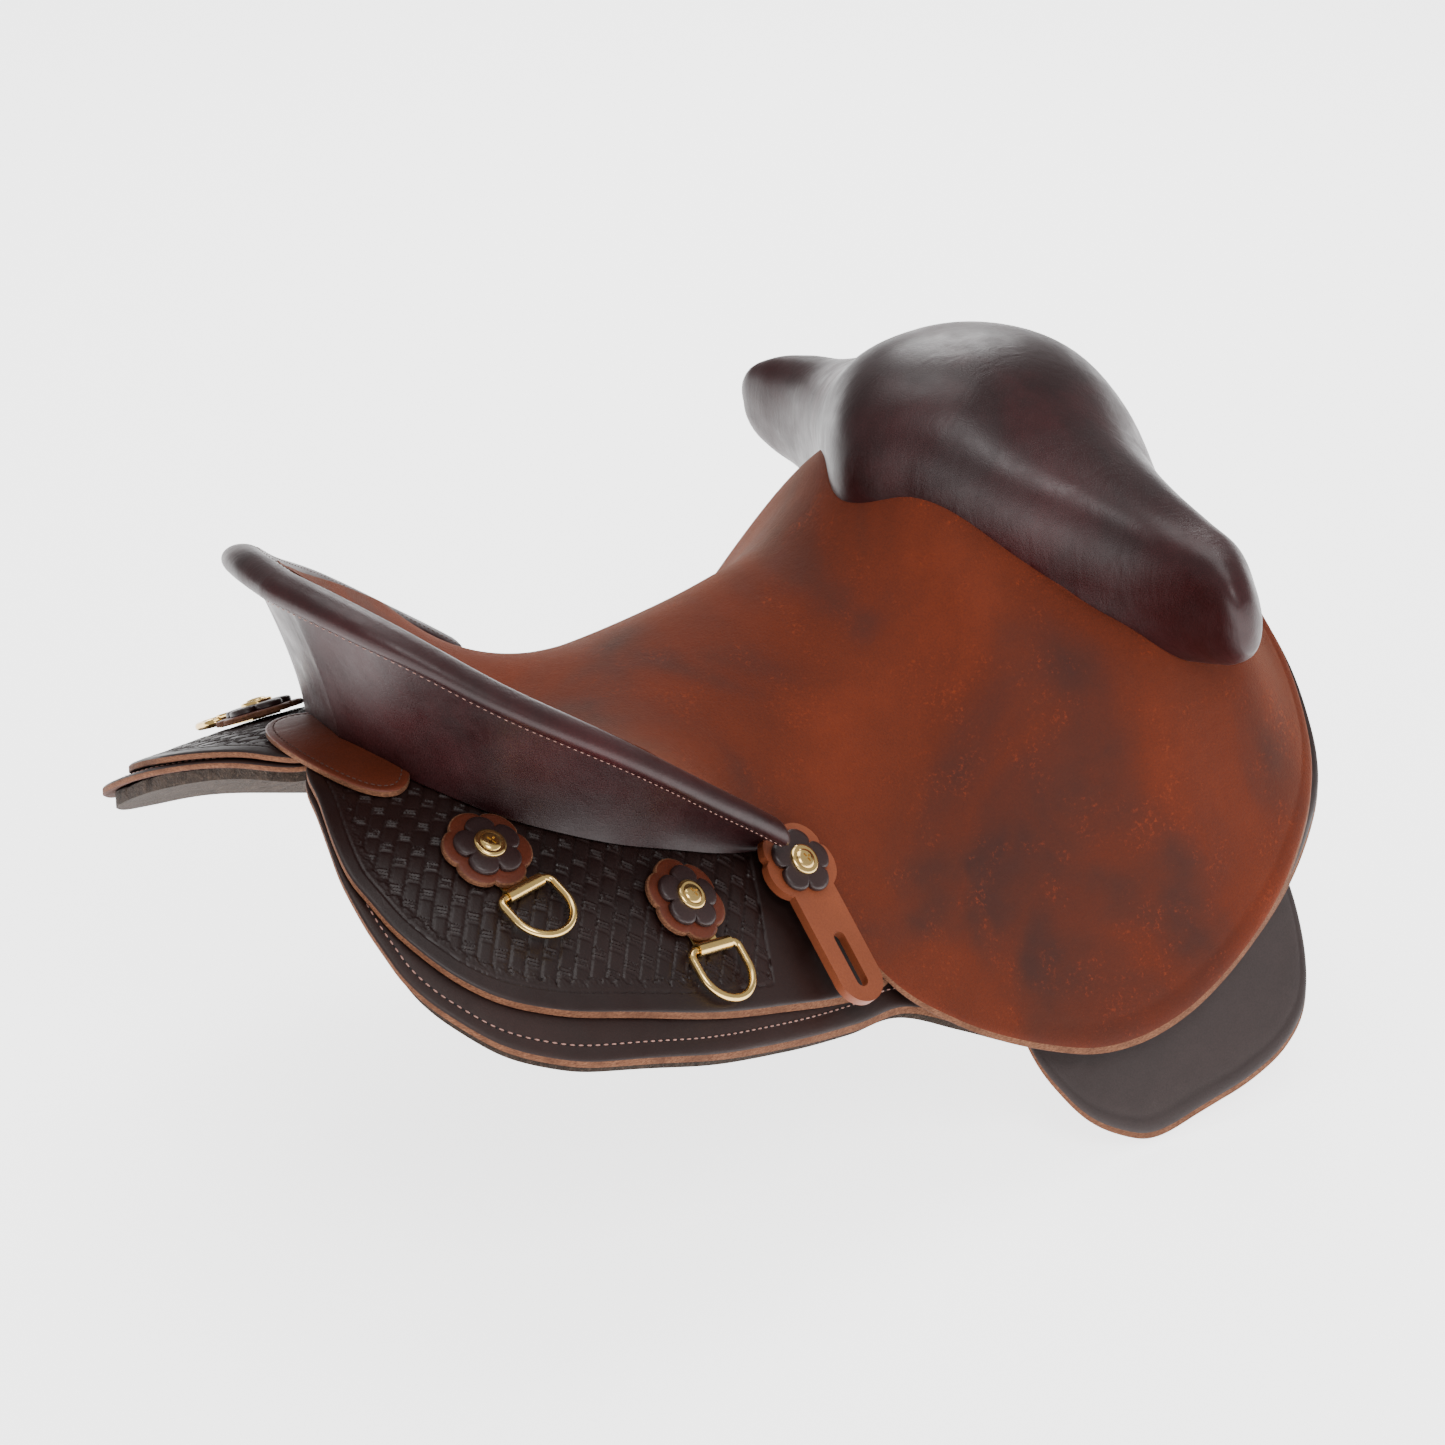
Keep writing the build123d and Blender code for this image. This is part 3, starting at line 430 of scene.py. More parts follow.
# ---- finishes ----------------------------------------------------------------
class Shade:
    """Small helper that adds and links the nodes of one material."""

    def __init__(self, name):
        self.material = bpy.data.materials.new(name)
        self.material.use_nodes = True
        self.tree = self.material.node_tree
        self.surface = self.tree.nodes["Principled BSDF"]
        self.coords = self.tree.nodes.new("ShaderNodeTexCoord").outputs["Object"]

    def link(self, value, socket):
        if isinstance(value, bpy.types.NodeSocket):
            self.tree.links.new(value, socket)
        else:
            socket.default_value = value

    def noise(self, scale, detail=4.0, rough=0.55, warp=0.0, stretch=None):
        node = self.tree.nodes.new("ShaderNodeTexNoise")
        source = self.coords
        if stretch:
            mapping = self.tree.nodes.new("ShaderNodeMapping")
            mapping.inputs["Scale"].default_value = stretch
            self.link(source, mapping.inputs["Vector"])
            source = mapping.outputs["Vector"]
        self.link(source, node.inputs["Vector"])
        node.inputs["Scale"].default_value = scale
        node.inputs["Detail"].default_value = detail
        node.inputs["Roughness"].default_value = rough
        node.inputs["Distortion"].default_value = warp
        return node.outputs["Fac"]

    def cells(self, scale):
        node = self.tree.nodes.new("ShaderNodeTexVoronoi")
        node.feature = "DISTANCE_TO_EDGE"
        self.link(self.coords, node.inputs["Vector"])
        node.inputs["Scale"].default_value = scale
        return node.outputs["Distance"]

    def ramp(self, value, stops):
        node = self.tree.nodes.new("ShaderNodeValToRGB")
        self.link(value, node.inputs["Fac"])
        while len(node.color_ramp.elements) < len(stops):
            node.color_ramp.elements.new(0.5)
        for element, (at, colour) in zip(node.color_ramp.elements, stops):
            element.position = at
            element.color = (*colour, 1) if len(colour) == 3 else colour
        return node.outputs["Color"]

    def span(self, value, low, high, to_low=0.0, to_high=1.0):
        node = self.tree.nodes.new("ShaderNodeMapRange")
        self.link(value, node.inputs["Value"])
        for key, number in (("From Min", low), ("From Max", high), ("To Min", to_low),
                            ("To Max", to_high)):
            node.inputs[key].default_value = number
        return node.outputs["Result"]

    def mix(self, share, a, b, blend="MIX"):
        node = self.tree.nodes.new("ShaderNodeMix")
        node.data_type = "RGBA"
        node.blend_type = blend
        self.link(share, node.inputs["Factor"])
        for value, key in ((a, 6), (b, 7)):
            if isinstance(value, bpy.types.NodeSocket):
                self.link(value, node.inputs[key])
            else:
                node.inputs[key].default_value = (*value, 1)
        return node.outputs[2]

    def bump(self, value, strength, distance, under=None):
        node = self.tree.nodes.new("ShaderNodeBump")
        node.inputs["Strength"].default_value = strength
        node.inputs["Distance"].default_value = distance
        self.link(value, node.inputs["Height"])
        if under is not None:
            self.link(under, node.inputs["Normal"])
        return node.outputs["Normal"]

    def finish(self, colour=None, rough=None, normal=None, **fixed):
        names = {"metal": "Metallic", "sheen": "Sheen Weight", "sheen_rough": "Sheen Roughness",
                 "sheen_tint": "Sheen Tint", "coat": "Coat Weight", "coat_rough": "Coat Roughness",
                 "specular": "Specular IOR Level"}
        if colour is not None:
            if isinstance(colour, tuple):
                colour = (*colour, 1)
            self.link(colour, self.surface.inputs["Base Color"])
        if rough is not None:
            self.link(rough, self.surface.inputs["Roughness"])
        if normal is not None:
            self.link(normal, self.surface.inputs["Normal"])
        for key, value in fixed.items():
            if key == "sheen_tint":
                value = (*value, 1)
            self.surface.inputs[names[key]].default_value = value
        return self.material


FINISH = {}


def times(colour, k):
    return tuple(c * k for c in colour)


def suede(colour, dull):
    """Rough-out hide: orange nap rubbed grey-brown in clouds, with bright fibres."""
    s = Shade("chestnut_rough_out")
    clouds = s.noise(6.5, 3.0, 0.55, 0.6)
    streak = s.noise(23.0, 4.0, 0.6, 0.4)
    base = s.ramp(clouds, [(0.36, dull), (0.5, times(colour, 0.72)), (0.64, colour)])
    base = s.mix(s.span(streak, 0.36, 0.66, 0.0, 0.55), base, times(colour, 0.62))
    fleck = s.span(s.noise(420.0, 3.0, 0.7), 0.54, 0.68, 0.0, 0.8)
    patches = s.span(s.noise(34.0, 5.0, 0.7), 0.5, 0.66, 0.0, 1.0)
    worn = s.tree.nodes.new("ShaderNodeMath")
    worn.operation = "MULTIPLY"
    s.link(fleck, worn.inputs[0])
    s.link(patches, worn.inputs[1])
    base = s.mix(worn.outputs[0], base, (min(1, colour[0] * 1.7), colour[1] * 1.5, colour[2] * 1.2))
    fine = s.span(s.noise(900.0, 2.0, 0.6), 0.3, 0.7, 0.0, 0.35)
    base = s.mix(fine, base, times(dull, 0.8), "MIX")
    bump = s.bump(s.noise(650.0, 4.0, 0.75), 0.55, 0.0009)
    bump = s.bump(s.noise(90.0, 5.0, 0.65), 0.25, 0.002, bump)
    return s.finish(base, s.span(clouds, 0.3, 0.7, 0.72, 0.9), bump, sheen=0.16,
                    sheen_rough=0.4, sheen_tint=(1.0, 0.42, 0.2), specular=0.2)


def smooth_leather(name, colour, warm, rough, grain=1.0, coat=0.0, crease=True):
    """Full-grain leather with cloudy dye, fine pores and faint creases."""
    s = Shade(name)
    clouds = s.noise(9.0, 4.0, 0.6, 0.8)
    base = s.mix(s.span(clouds, 0.4, 0.72), colour, warm)
    pores = s.noise(950.0, 3.0, 0.6)
    base = s.mix(s.span(pores, 0.35, 0.6, 0.3, 0.0), base, times(colour, 0.5))
    veins = s.cells(260.0)
    normal = s.bump(pores, 0.12 * grain, 0.0004)
    normal = s.bump(s.span(veins, 0.0, 0.12), 0.10 * grain, 0.0003, normal)
    if crease:
        folds = s.noise(38.0, 3.0, 0.5, 1.2, (1.0, 2.2, 0.5))
        normal = s.bump(folds, 0.10, 0.003, normal)
    gloss = s.span(s.noise(60.0, 4.0, 0.6), 0.3, 0.7, rough - 0.05, rough + 0.08)
    return s.finish(base, gloss, normal, coat=coat, coat_rough=0.3, specular=0.38)


def cut_edge(name, colour, dark):
    """Raw cut edge: pale fibres in layers, darker where it was handled."""
    s = Shade(name)
    fibre = s.noise(520.0, 4.0, 0.7, 0.0, (1.0, 1.0, 3.0))
    smear = s.noise(70.0, 4.0, 0.6)
    base = s.mix(s.span(fibre, 0.35, 0.7), dark, colour)
    base = s.mix(s.span(smear, 0.45, 0.7, 0.0, 0.6), base, times(dark, 0.8))
    return s.finish(base, 0.78, s.bump(fibre, 0.6, 0.0006), specular=0.2)


def felt(colour, dark):
    s = Shade("wool_felt")
    tufts = s.noise(160.0, 6.0, 0.75, 0.4)
    base = s.mix(s.span(tufts, 0.35, 0.68), dark, colour)
    speck = s.span(s.noise(700.0, 2.0, 0.6), 0.56, 0.7, 0.0, 0.6)
    base = s.mix(speck, base, times(colour, 1.8))
    return s.finish(base, 0.95, s.bump(tufts, 0.9, 0.002), sheen=0.08, sheen_rough=0.6,
                    specular=0.1)


def brass(colour):
    s = Shade("brass")
    wear = s.noise(120.0, 5.0, 0.6)
    base = s.mix(s.span(wear, 0.4, 0.75, 0.0, 0.5), colour, times(colour, 0.72))
    fine = s.noise(1500.0, 2.0, 0.5)
    return s.finish(base, s.span(wear, 0.3, 0.7, 0.13, 0.26), s.bump(fine, 0.05, 0.0002), metal=1.0)


def plain(name, colour, rough, bump_scale=300.0, depth=0.0005, **fixed):
    s = Shade(name)
    grain = s.noise(bump_scale, 4.0, 0.65)
    base = s.mix(s.span(grain, 0.35, 0.7), times(colour, 0.75), colour)
    return s.finish(base, rough, s.bump(grain, 0.5, depth), **fixed)


def wood(colour):
    s = Shade("tree_wood")
    rings = s.noise(14.0, 4.0, 0.6, 2.0, (0.25, 3.0, 3.0))
    base = s.mix(s.span(rings, 0.35, 0.65), times(colour, 0.6), colour)
    return s.finish(base, 0.6, s.bump(rings, 0.2, 0.0008))


def make_finishes(tint):
    FINISH["hide"] = suede(tuple(tint.chestnut), tuple(tint.rubbed))
    FINISH["burgundy"] = smooth_leather("burgundy_leather", tuple(tint.burgundy),
                                        times(tint.burgundy, 2.8), 0.40, 0.8, 0.0)
    FINISH["tooled"] = smooth_leather("tooled_leather", tuple(tint.tooled),
                                      times(tint.tooled, 1.7), 0.42, 0.8, 0.0, False)
    FINISH["skirt"] = smooth_leather("skirt_leather", tuple(tint.skirt), times(tint.skirt, 1.6),
                                     0.5, 1.0, 0.0)
    FINISH["flap"] = smooth_leather("flap_leather", tuple(tint.flap), times(tint.flap, 1.3),
                                    0.55, 1.0, 0.0)
    FINISH["chestnut"] = smooth_leather("chestnut_leather", tuple(tint.patch),
                                        times(tint.patch, 1.7), 0.42, 1.4, 0.0)
    FINISH["russet"] = smooth_leather("russet_leather", tuple(tint.russet),
                                      times(tint.russet, 1.25), 0.5, 1.2, 0.0, False)
    FINISH["dark"] = smooth_leather("dark_leather", tuple(tint.flower), times(tint.flower, 1.5),
                                    0.4, 1.0, 0.1, False)
    FINISH["edge"] = cut_edge("cut_edge_tan", (0.26, 0.11, 0.055), (0.085, 0.032, 0.017))
    FINISH["edge_dark"] = cut_edge("cut_edge_dark", (0.13, 0.05, 0.03), (0.035, 0.014, 0.01))
    FINISH["felt"] = felt((0.055, 0.036, 0.026), (0.018, 0.012, 0.009))
    FINISH["brass"] = brass(tuple(tint.brass))
    FINISH["thread"] = plain("pink_thread", (0.42, 0.22, 0.18), 0.7, 1800.0, 0.0003)
    FINISH["thread_dark"] = plain("brown_thread", (0.09, 0.04, 0.03), 0.7, 1800.0, 0.0003)
    # near-black finish of the awl holes: painted shade, not a cut
    FINISH["hole"] = plain("awl_hole", (0.008, 0.004, 0.004), 0.9)
    FINISH["rawhide"] = plain("rawhide", (0.86, 0.74, 0.62), 0.6, 90.0)
    FINISH["wood"] = wood((0.50, 0.33, 0.18))
    FINISH["steel"] = plain("tree_steel", (0.42, 0.42, 0.43), 0.35, 500.0, 0.0002, metal=1.0)


# ---- settings ----------------------------------------------------------------
def shade(name, words, default):
    return FloatVectorProperty(name=name, description=words, default=default, subtype="COLOR",
                               size=3, min=0.0, max=1.0)


class SaddleColours(bpy.types.PropertyGroup):
    chestnut: shade("Rough-out hide", "Nap of the seat and side jockeys", (0.160, 0.026, 0.0080))
    rubbed: shade("Rubbed hide", "Where the nap is rubbed dull", (0.045, 0.014, 0.010))
    burgundy: shade("Pommel and cantle", "Smooth leather over the tree", (0.015, 0.0026, 0.0030))
    tooled: shade("Tooled leather", "Rear jockeys", (0.012, 0.0042, 0.0034))
    skirt: shade("Skirt", "Skirts below the jockeys", (0.016, 0.0050, 0.0036))
    flap: shade("Sweat flap", "Flaps below the skirts", (0.032, 0.021, 0.020))
    patch: shade("Patch", "Oval patch and scalloped bases", (0.085, 0.017, 0.0065))
    russet: shade("Keeper", "Hanging keepers", (0.20, 0.048, 0.017))
    flower: shade("Flowers", "Dark flowers under the brass caps", (0.022, 0.0095, 0.009))
    brass: shade("Brass", "Dees, clips and caps", (0.82, 0.56, 0.21))


class SaddleSizes(bpy.types.PropertyGroup):
    hide_mesh: FloatProperty(name="Hide mesh", description="Point spacing of the seat leather",
                             default=4.0 * MM, unit="LENGTH")
    tool_mesh: FloatProperty(name="Tooling mesh", description="Point spacing of the tooled leather",
                             default=0.95 * MM, unit="LENGTH")
    stitch_pitch: FloatProperty(name="Stitch pitch", description="Stitches of the skirts",
                                default=5.0 * MM, unit="LENGTH")
    weave_column: FloatProperty(name="Weave column", description="Width of a woven strap",
                                default=9.0 * MM, unit="LENGTH")
    weave_row: FloatProperty(name="Weave row", description="Length of one over and under",
                             default=20.0 * MM, unit="LENGTH")
    roll_height: FloatProperty(name="Roll height", description="Height of the cantle's roll",
                               default=17.0 * MM, unit="LENGTH")
    roll_width: FloatProperty(name="Roll width", description="Width of the cantle's roll",
                              default=23.0 * MM, unit="LENGTH")
    petals: IntProperty(name="Petals", description="Petals of the dark flowers", default=5, min=3)


def sizes():
    return bpy.context.scene.saddle_sizes


def colours():
    return bpy.context.scene.saddle_colours


# ---- seat and side jockeys ---------------------------------------------------
class SADDLE_OT_hide(bpy.types.Operator):
    """Lay the rough-out hide over the seat and both sides"""
    bl_idname = "saddle.hide"
    bl_label = "Seat and Side Jockeys"

    def execute(self, context):
        def groove(x, y, d, s):
            front = smooth(x, 60, 130) * (np.abs(y) > 60)
            return 0.45 * np.exp(-((d - 6.0) / 0.9) ** 2) * front

        obj = sheet("seat_hide", whole_plan(HIDE_EDGE), seat, HIDE_TOP, HIDE_THICK,
                    sizes().hide_mesh / MM, [FINISH["hide"], FINISH["edge"], FINISH["edge_dark"]],
                    groove, EDGE_RINGS + (4.8, 6.0, 7.2), 2.5, 1.3)
        settle(obj, "saddle", "chestnut_suede", "seat_cover", "seat_foam")
        return {"FINISHED"}


# ---- rear jockeys, tooled ----------------------------------------------------
def weave(x, y, d, s):
    """Depth of the tooling: plain border, row of shells, then basket weave."""
    column, row = sizes().weave_column / MM, sizes().weave_row / MM
    u = (x + np.abs(y)) * 0.788
    v = np.abs(y) * 1.009 - x * 0.616
    k = np.floor(u / column)
    across = u / column - k
    down = v / row + 0.5 * np.mod(k, 2)
    t = down - np.floor(down)
    strap = np.abs(across - 0.5) * 2
    plain_bar = smooth(np.abs(t - 0.36), 0.31, 0.27)
    crown = (1 - strap**4) * 0.5 + 0.5
    bar = plain_bar * (0.42 + 0.16 * (1 - ((t - 0.36) / 0.33) ** 2)) * crown
    lines = 0.5 + 0.5 * np.cos((t - 0.86) * 2 * math.pi / 0.105)
    block = (1 - plain_bar) * (0.30 + 0.62 * lines * smooth(np.abs(t - 0.86), 0.22, 0.19))
    gap = smooth(strap, 0.74, 0.98)
    raised = np.maximum(bar, block * 0.9) - 0.7 * gap
    field = 1.35 * (1 - np.clip(raised, 0, 1))
    shell = np.mod(s, 9.0) / 9.0 - 0.5
    bow = 10.5 + 5.2 * np.sqrt(np.clip(1 - (shell * 2) ** 2, 0, 1))
    fan = 0.5 + 0.5 * np.cos(np.arctan2(shell * 9.0, d - 9.0) * 11)
    shells = np.where(d < bow, 0.12 + 0.3 * fan * smooth(d, 10.2, 12.0), 0.0)
    shells = shells + 0.75 * np.exp(-((d - bow) / 0.55) ** 2)
    groove = 0.75 * np.exp(-((d - 8.8) / 0.5) ** 2)
    share = smooth(d - bow, 0.0, 0.8)
    front = smooth(x + 0.55 * (np.abs(y) - 150), -72, -69)
    arc = 0.6 * np.exp(-((x + 0.55 * (np.abs(y) - 150) + 71) / 0.7) ** 2) * (d > 9)
    tooled = groove + np.where(d > 9.2, shells * (1 - share) + field * share, 0)
    return tooled * (1 - front) + arc


class SADDLE_OT_rear_jockeys(bpy.types.Operator):
    """Cut, tool and lay the rear jockeys and the oval patch between them"""
    bl_idname = "saddle.rear_jockeys"
    bl_label = "Rear Jockeys"

    def execute(self, context):
        outline = JOCKEY_OUTER + JOCKEY_INNER
        finishes = [FINISH["tooled"], FINISH["edge"], FINISH["edge_dark"]]
        for side, label in SIDES:
            plan = outline if side == LEFT else mirrored(outline)
            obj = sheet("rear_jockey_tooled_" + label, plan, barrel, JOCKEY_TOP, JOCKEY_THICK,
                        sizes().tool_mesh / MM, finishes, weave, EDGE_RINGS, 1.2, 0.9)
            settle(obj, "saddle", "tooled_leather", "rear_jockey_" + label)
        oval = [(PATCH_X + PATCH_SHORT * math.sin(a), PATCH_LONG * math.cos(a)) for a in
                (2 * math.pi * k / 24 for k in range(24))]
        finishes = [FINISH["chestnut"], FINISH["edge"], FINISH["edge_dark"]]
        obj = sheet("rear_patch_oval", oval, barrel, PATCH_TOP, PATCH_THICK, 2.5, finishes,
                    lambda x, y, d, s: 0.3 * np.exp(-((d - 4.2) / 0.7) ** 2),
                    EDGE_RINGS + (3.4, 4.2, 5.0), 1.5, 0.8)
        settle(obj, "saddle", "chestnut_leather", "rear_patch")
        places, out = seam_on(oval, barrel, PATCH_TOP, 4.2)
        obj = sew("rear_patch_stitches", places, out, 3.6, FINISH["thread_dark"], 2.6, 0.8, 0.2)
        settle(obj, "saddle", "chestnut_leather")
        return {"FINISHED"}


# ---- skirts, felt and sweat flaps --------------------------------------------
class SADDLE_OT_skirts(bpy.types.Operator):
    """Lay the stitched skirts, their felt linings and the sweat flaps"""
    bl_idname = "saddle.skirts"
    bl_label = "Skirts and Linings"

    def execute(self, context):
        outline = SKIRT_OUTER + SKIRT_INNER
        for side, label in SIDES:
            plan = outline if side == LEFT else mirrored(outline)
            rng = np.random.default_rng(7 + side)
            obj = sheet("skirt_leather_" + label, plan, under_bars, SKIRT_TOP, SKIRT_THICK, 5.0,
                        [FINISH["skirt"], FINISH["edge"], FINISH["edge_dark"]],
                        lambda x, y, d, s: 0.4 * np.exp(-((d - 6.5) / 0.9) ** 2),
                        EDGE_RINGS + (5.4, 6.5, 7.6), 2.0, 1.0)
            settle(obj, "saddle", "skirt_leather", "skirt_" + label)
            places, out = seam_on(plan, under_bars, SKIRT_TOP, 6.5,
                                  lambda x, y: (np.abs(y) > 50))
            obj = sew("skirt_stitches_" + label, places, out, sizes().stitch_pitch / MM,
                      FINISH["thread"], 3.0, 0.95, 0.15, FINISH["hole"])
            settle(obj, "saddle", "skirt_leather")

            def tufted(x, y, d, s):
                return rng.normal(0, 0.22, len(x)) + 0.5 * np.sin(s / 9.0) * (d < 3)

            felt_plan = ring(round_loop(plan, 6.0), FELT_SET_IN)
            obj = sheet("skirt_felt_" + label, felt_plan, under_bars, FELT_TOP + 0.3,
                        FELT_THICK - 0.3, 6.0, [FINISH["felt"]] * 3, tufted, (0.8, 2.0), 2.0, 0.6)
            settle(obj, "saddle", "wool_felt", "skirt_lining_" + label)
            plan = FLAP_EDGE if side == LEFT else mirrored(FLAP_EDGE)
            obj = sheet("sweat_flap_leather_" + label, plan, barrel, FLAP_TOP, FLAP_THICK, 5.0,
                        [FINISH["flap"], FINISH["edge"], FINISH["edge_dark"]],
                        lambda x, y, d, s: 0.3 * np.exp(-((d - 4.0) / 0.8) ** 2),
                        EDGE_RINGS + (3.2, 4.0, 4.8), 2.0, 0.9)
            settle(obj, "sweat_flap_" + label, "flap_leather", "sweat_flap_" + label)
        return {"FINISHED"}


# ---- cantle ------------------------------------------------------------------
def cantle_at(t):
    """Base point, crest point and outward direction at a place t along the left half crest."""
    last = len(CREST) - 1

    def read(rows, column, at):
        return along([(k, row[column]) for k, row in enumerate(rows)], at)

    top = np.stack([read(CREST, k, t) for k in range(3)], -1)
    bx, by = read(CANTLE_BASE, 0, t), read(CANTLE_BASE, 1, t)
    base = on_layer(barrel, bx, by, JOCKEY_TOP - 0.4)
    ahead, behind = np.minimum(t + 0.3, last), np.maximum(t - 0.3, 0)
    run = np.stack([read(CREST, k, ahead) - read(CREST, k, behind) for k in (0, 1)], -1)
    out = np.stack([-run[:, 1], run[:, 0], np.zeros(len(t))], -1)
    out /= np.linalg.norm(out, axis=1, keepdims=True)
    return base, top, out


def cantle_sweep(count):
    """Rows from the right end of the crest to its left end."""
    t = np.linspace(0, len(CREST) - 1, count)
    base, top, out = cantle_at(t)
    flip = np.array([1, -1, 1])
    return [np.concatenate([(a * flip)[:0:-1], a]) for a in (base, top, out)]


# groove of the roll's seam: place round the roll, share of its radius, spread in radians
SEAM_ANGLE, SEAM_DEPTH, SEAM_SPREAD = 5.35, 0.12, 0.13


class SADDLE_OT_cantle(bpy.types.Operator):
    """Stretch leather over the cantle's back and bind its crest with a roll"""
    bl_idname = "saddle.cantle"
    bl_label = "Cantle"

    def execute(self, context):
        width, tall = sizes().roll_width / MM, sizes().roll_height / MM
        base, top, out = cantle_sweep(90)
        high = top + out * 7 - np.array([0, 0, tall * 0.8])
        rows = []
        for v in np.linspace(0, 1, 30):
            hollow = -2.2 * math.sin(math.pi * v) + 2.4 * (1 - v) ** 6
            rows.append(base + (high - base) * v + out * hollow)
        for v in np.linspace(1, 0, 6):
            rows.append(base + (high - base) * v - out * 3.2)
        obj = skin("cantle_back_leather", np.swapaxes(np.array(rows), 0, 1), [FINISH["burgundy"]])
        settle(obj, "saddle", "burgundy_leather", "cantle_back_cover")
        count = 40
        ends = np.array([0.30, 0.55, 0.74, 0.87, 0.95, 1.0])
        centre = top + out * width * 0.44 - np.array([0, 0, tall * 0.42])
        rows = []
        lead = (centre[0] - centre[1]) / np.linalg.norm(centre[0] - centre[1])
        tail = (centre[-1] - centre[-2]) / np.linalg.norm(centre[-1] - centre[-2])
        caps = [(centre[0] + lead * 7 * math.sqrt(1 - e * e), out[0], e) for e in ends]
        body = [(c, o, 1.0) for c, o in zip(centre, out)]
        caps_end = [(centre[-1] + tail * 7 * math.sqrt(1 - e * e), out[-1], e)
                    for e in reversed(ends)]
        a = 2 * np.pi * np.arange(count) / count
        off_seam = np.mod(a - SEAM_ANGLE + math.pi, 2 * math.pi) - math.pi
        seam = (1 - SEAM_DEPTH * np.exp(-(off_seam / SEAM_SPREAD) ** 2))[:, None]
        for c, o, f in caps + body + caps_end:
            rows.append(c + (o * (width / 2 * f) * np.cos(a)[:, None]
                             + np.array([0, 0, tall / 2 * f]) * np.sin(a)[:, None]) * seam)
        obj = skin("cantle_roll_leather", np.array(rows), [FINISH["burgundy"]])
        settle(obj, "saddle", "burgundy_leather", "cantle_roll")
        line = centre + out * width * 0.31 - np.array([0, 0, tall * 0.43])
        face = out * 0.75 + np.array([0, 0, -0.4])
        obj = sew("cantle_roll_stitches", line, face, 4.2, FINISH["thread"], 2.2, 0.6, 0.35)
        settle(obj, "saddle", "burgundy_leather")
        line = centre - out * width * 0.36 + np.array([0, 0, tall * 0.36])
        face = -out * 0.7 + np.array([0, 0, 0.7])
        obj = sew("cantle_binding_stitches", line, face, 4.2, FINISH["thread_dark"], 2.4, 0.7, 0.2)
        settle(obj, "saddle", "burgundy_leather")
        return {"FINISHED"}


# ---- swell -------------------------------------------------------------------
def swell_rows(across=150, around=96):
    """Rounded sections of the swell, from the right wing's tip to the left one's."""
    table = [[(-SWELL[1][0], SWELL[1][k])] + [(s[0], s[k]) for s in SWELL] for k in range(1, 7)]
    reach = SWELL[-1][0]
    lead = np.linspace(0, 1, 12)
    half = np.concatenate([np.linspace(0, reach - 4, across // 2),
                           reach - 4 + 4 * np.sin(lead[1:] * math.pi / 2)])
    rows = []
    for h in half:
        rear, front, top, low, crown_x, foot_x = (
            float(along(t, np.array([min(h, reach)]))[0]) for t in table)
        fade = math.sqrt(max(0.02, 1 - ((h - reach + 4) / 4) ** 2)) if h > reach - 4 else 1.0
        middle, span = (rear + front) / 2, (front - rear) / 2
        centre, rise = (top + low) / 2, (top - low) / 2
        a = 2 * np.pi * np.arange(around) / around
        c = np.sign(np.cos(a)) * np.abs(np.cos(a)) ** 0.85
        s = np.sign(np.sin(a)) * np.abs(np.sin(a)) ** 0.85
        lean = np.where(s > 0, (crown_x - middle) * s, (middle - foot_x) * s)
        x = middle + (span * c + lean) * fade
        z = centre + rise * s * fade
        rows.append(np.stack([x, np.full(around, h), z], -1))
    rows = np.array(rows)
    flip = rows[:0:-1] * np.array([1, -1, 1])
    return np.concatenate([flip, rows])


class SADDLE_OT_swell(bpy.types.Operator):
    """Stretch leather over the swell and its wings"""
    bl_idname = "saddle.swell"
    bl_label = "Swell"

    def execute(self, context):
        rows = swell_rows()
        floor = barrel(rows[..., 0], rows[..., 1]) - HIDE_TOP - HIDE_THICK
        rows[..., 2] = np.maximum(rows[..., 2], np.minimum(floor, rows[..., 2] + 90))
        obj = skin("swell_leather", rows, [FINISH["burgundy"]])
        settle(obj, "saddle", "burgundy_leather", "swell_cover", "knee_pad_left", "knee_pad_right")
        return {"FINISHED"}


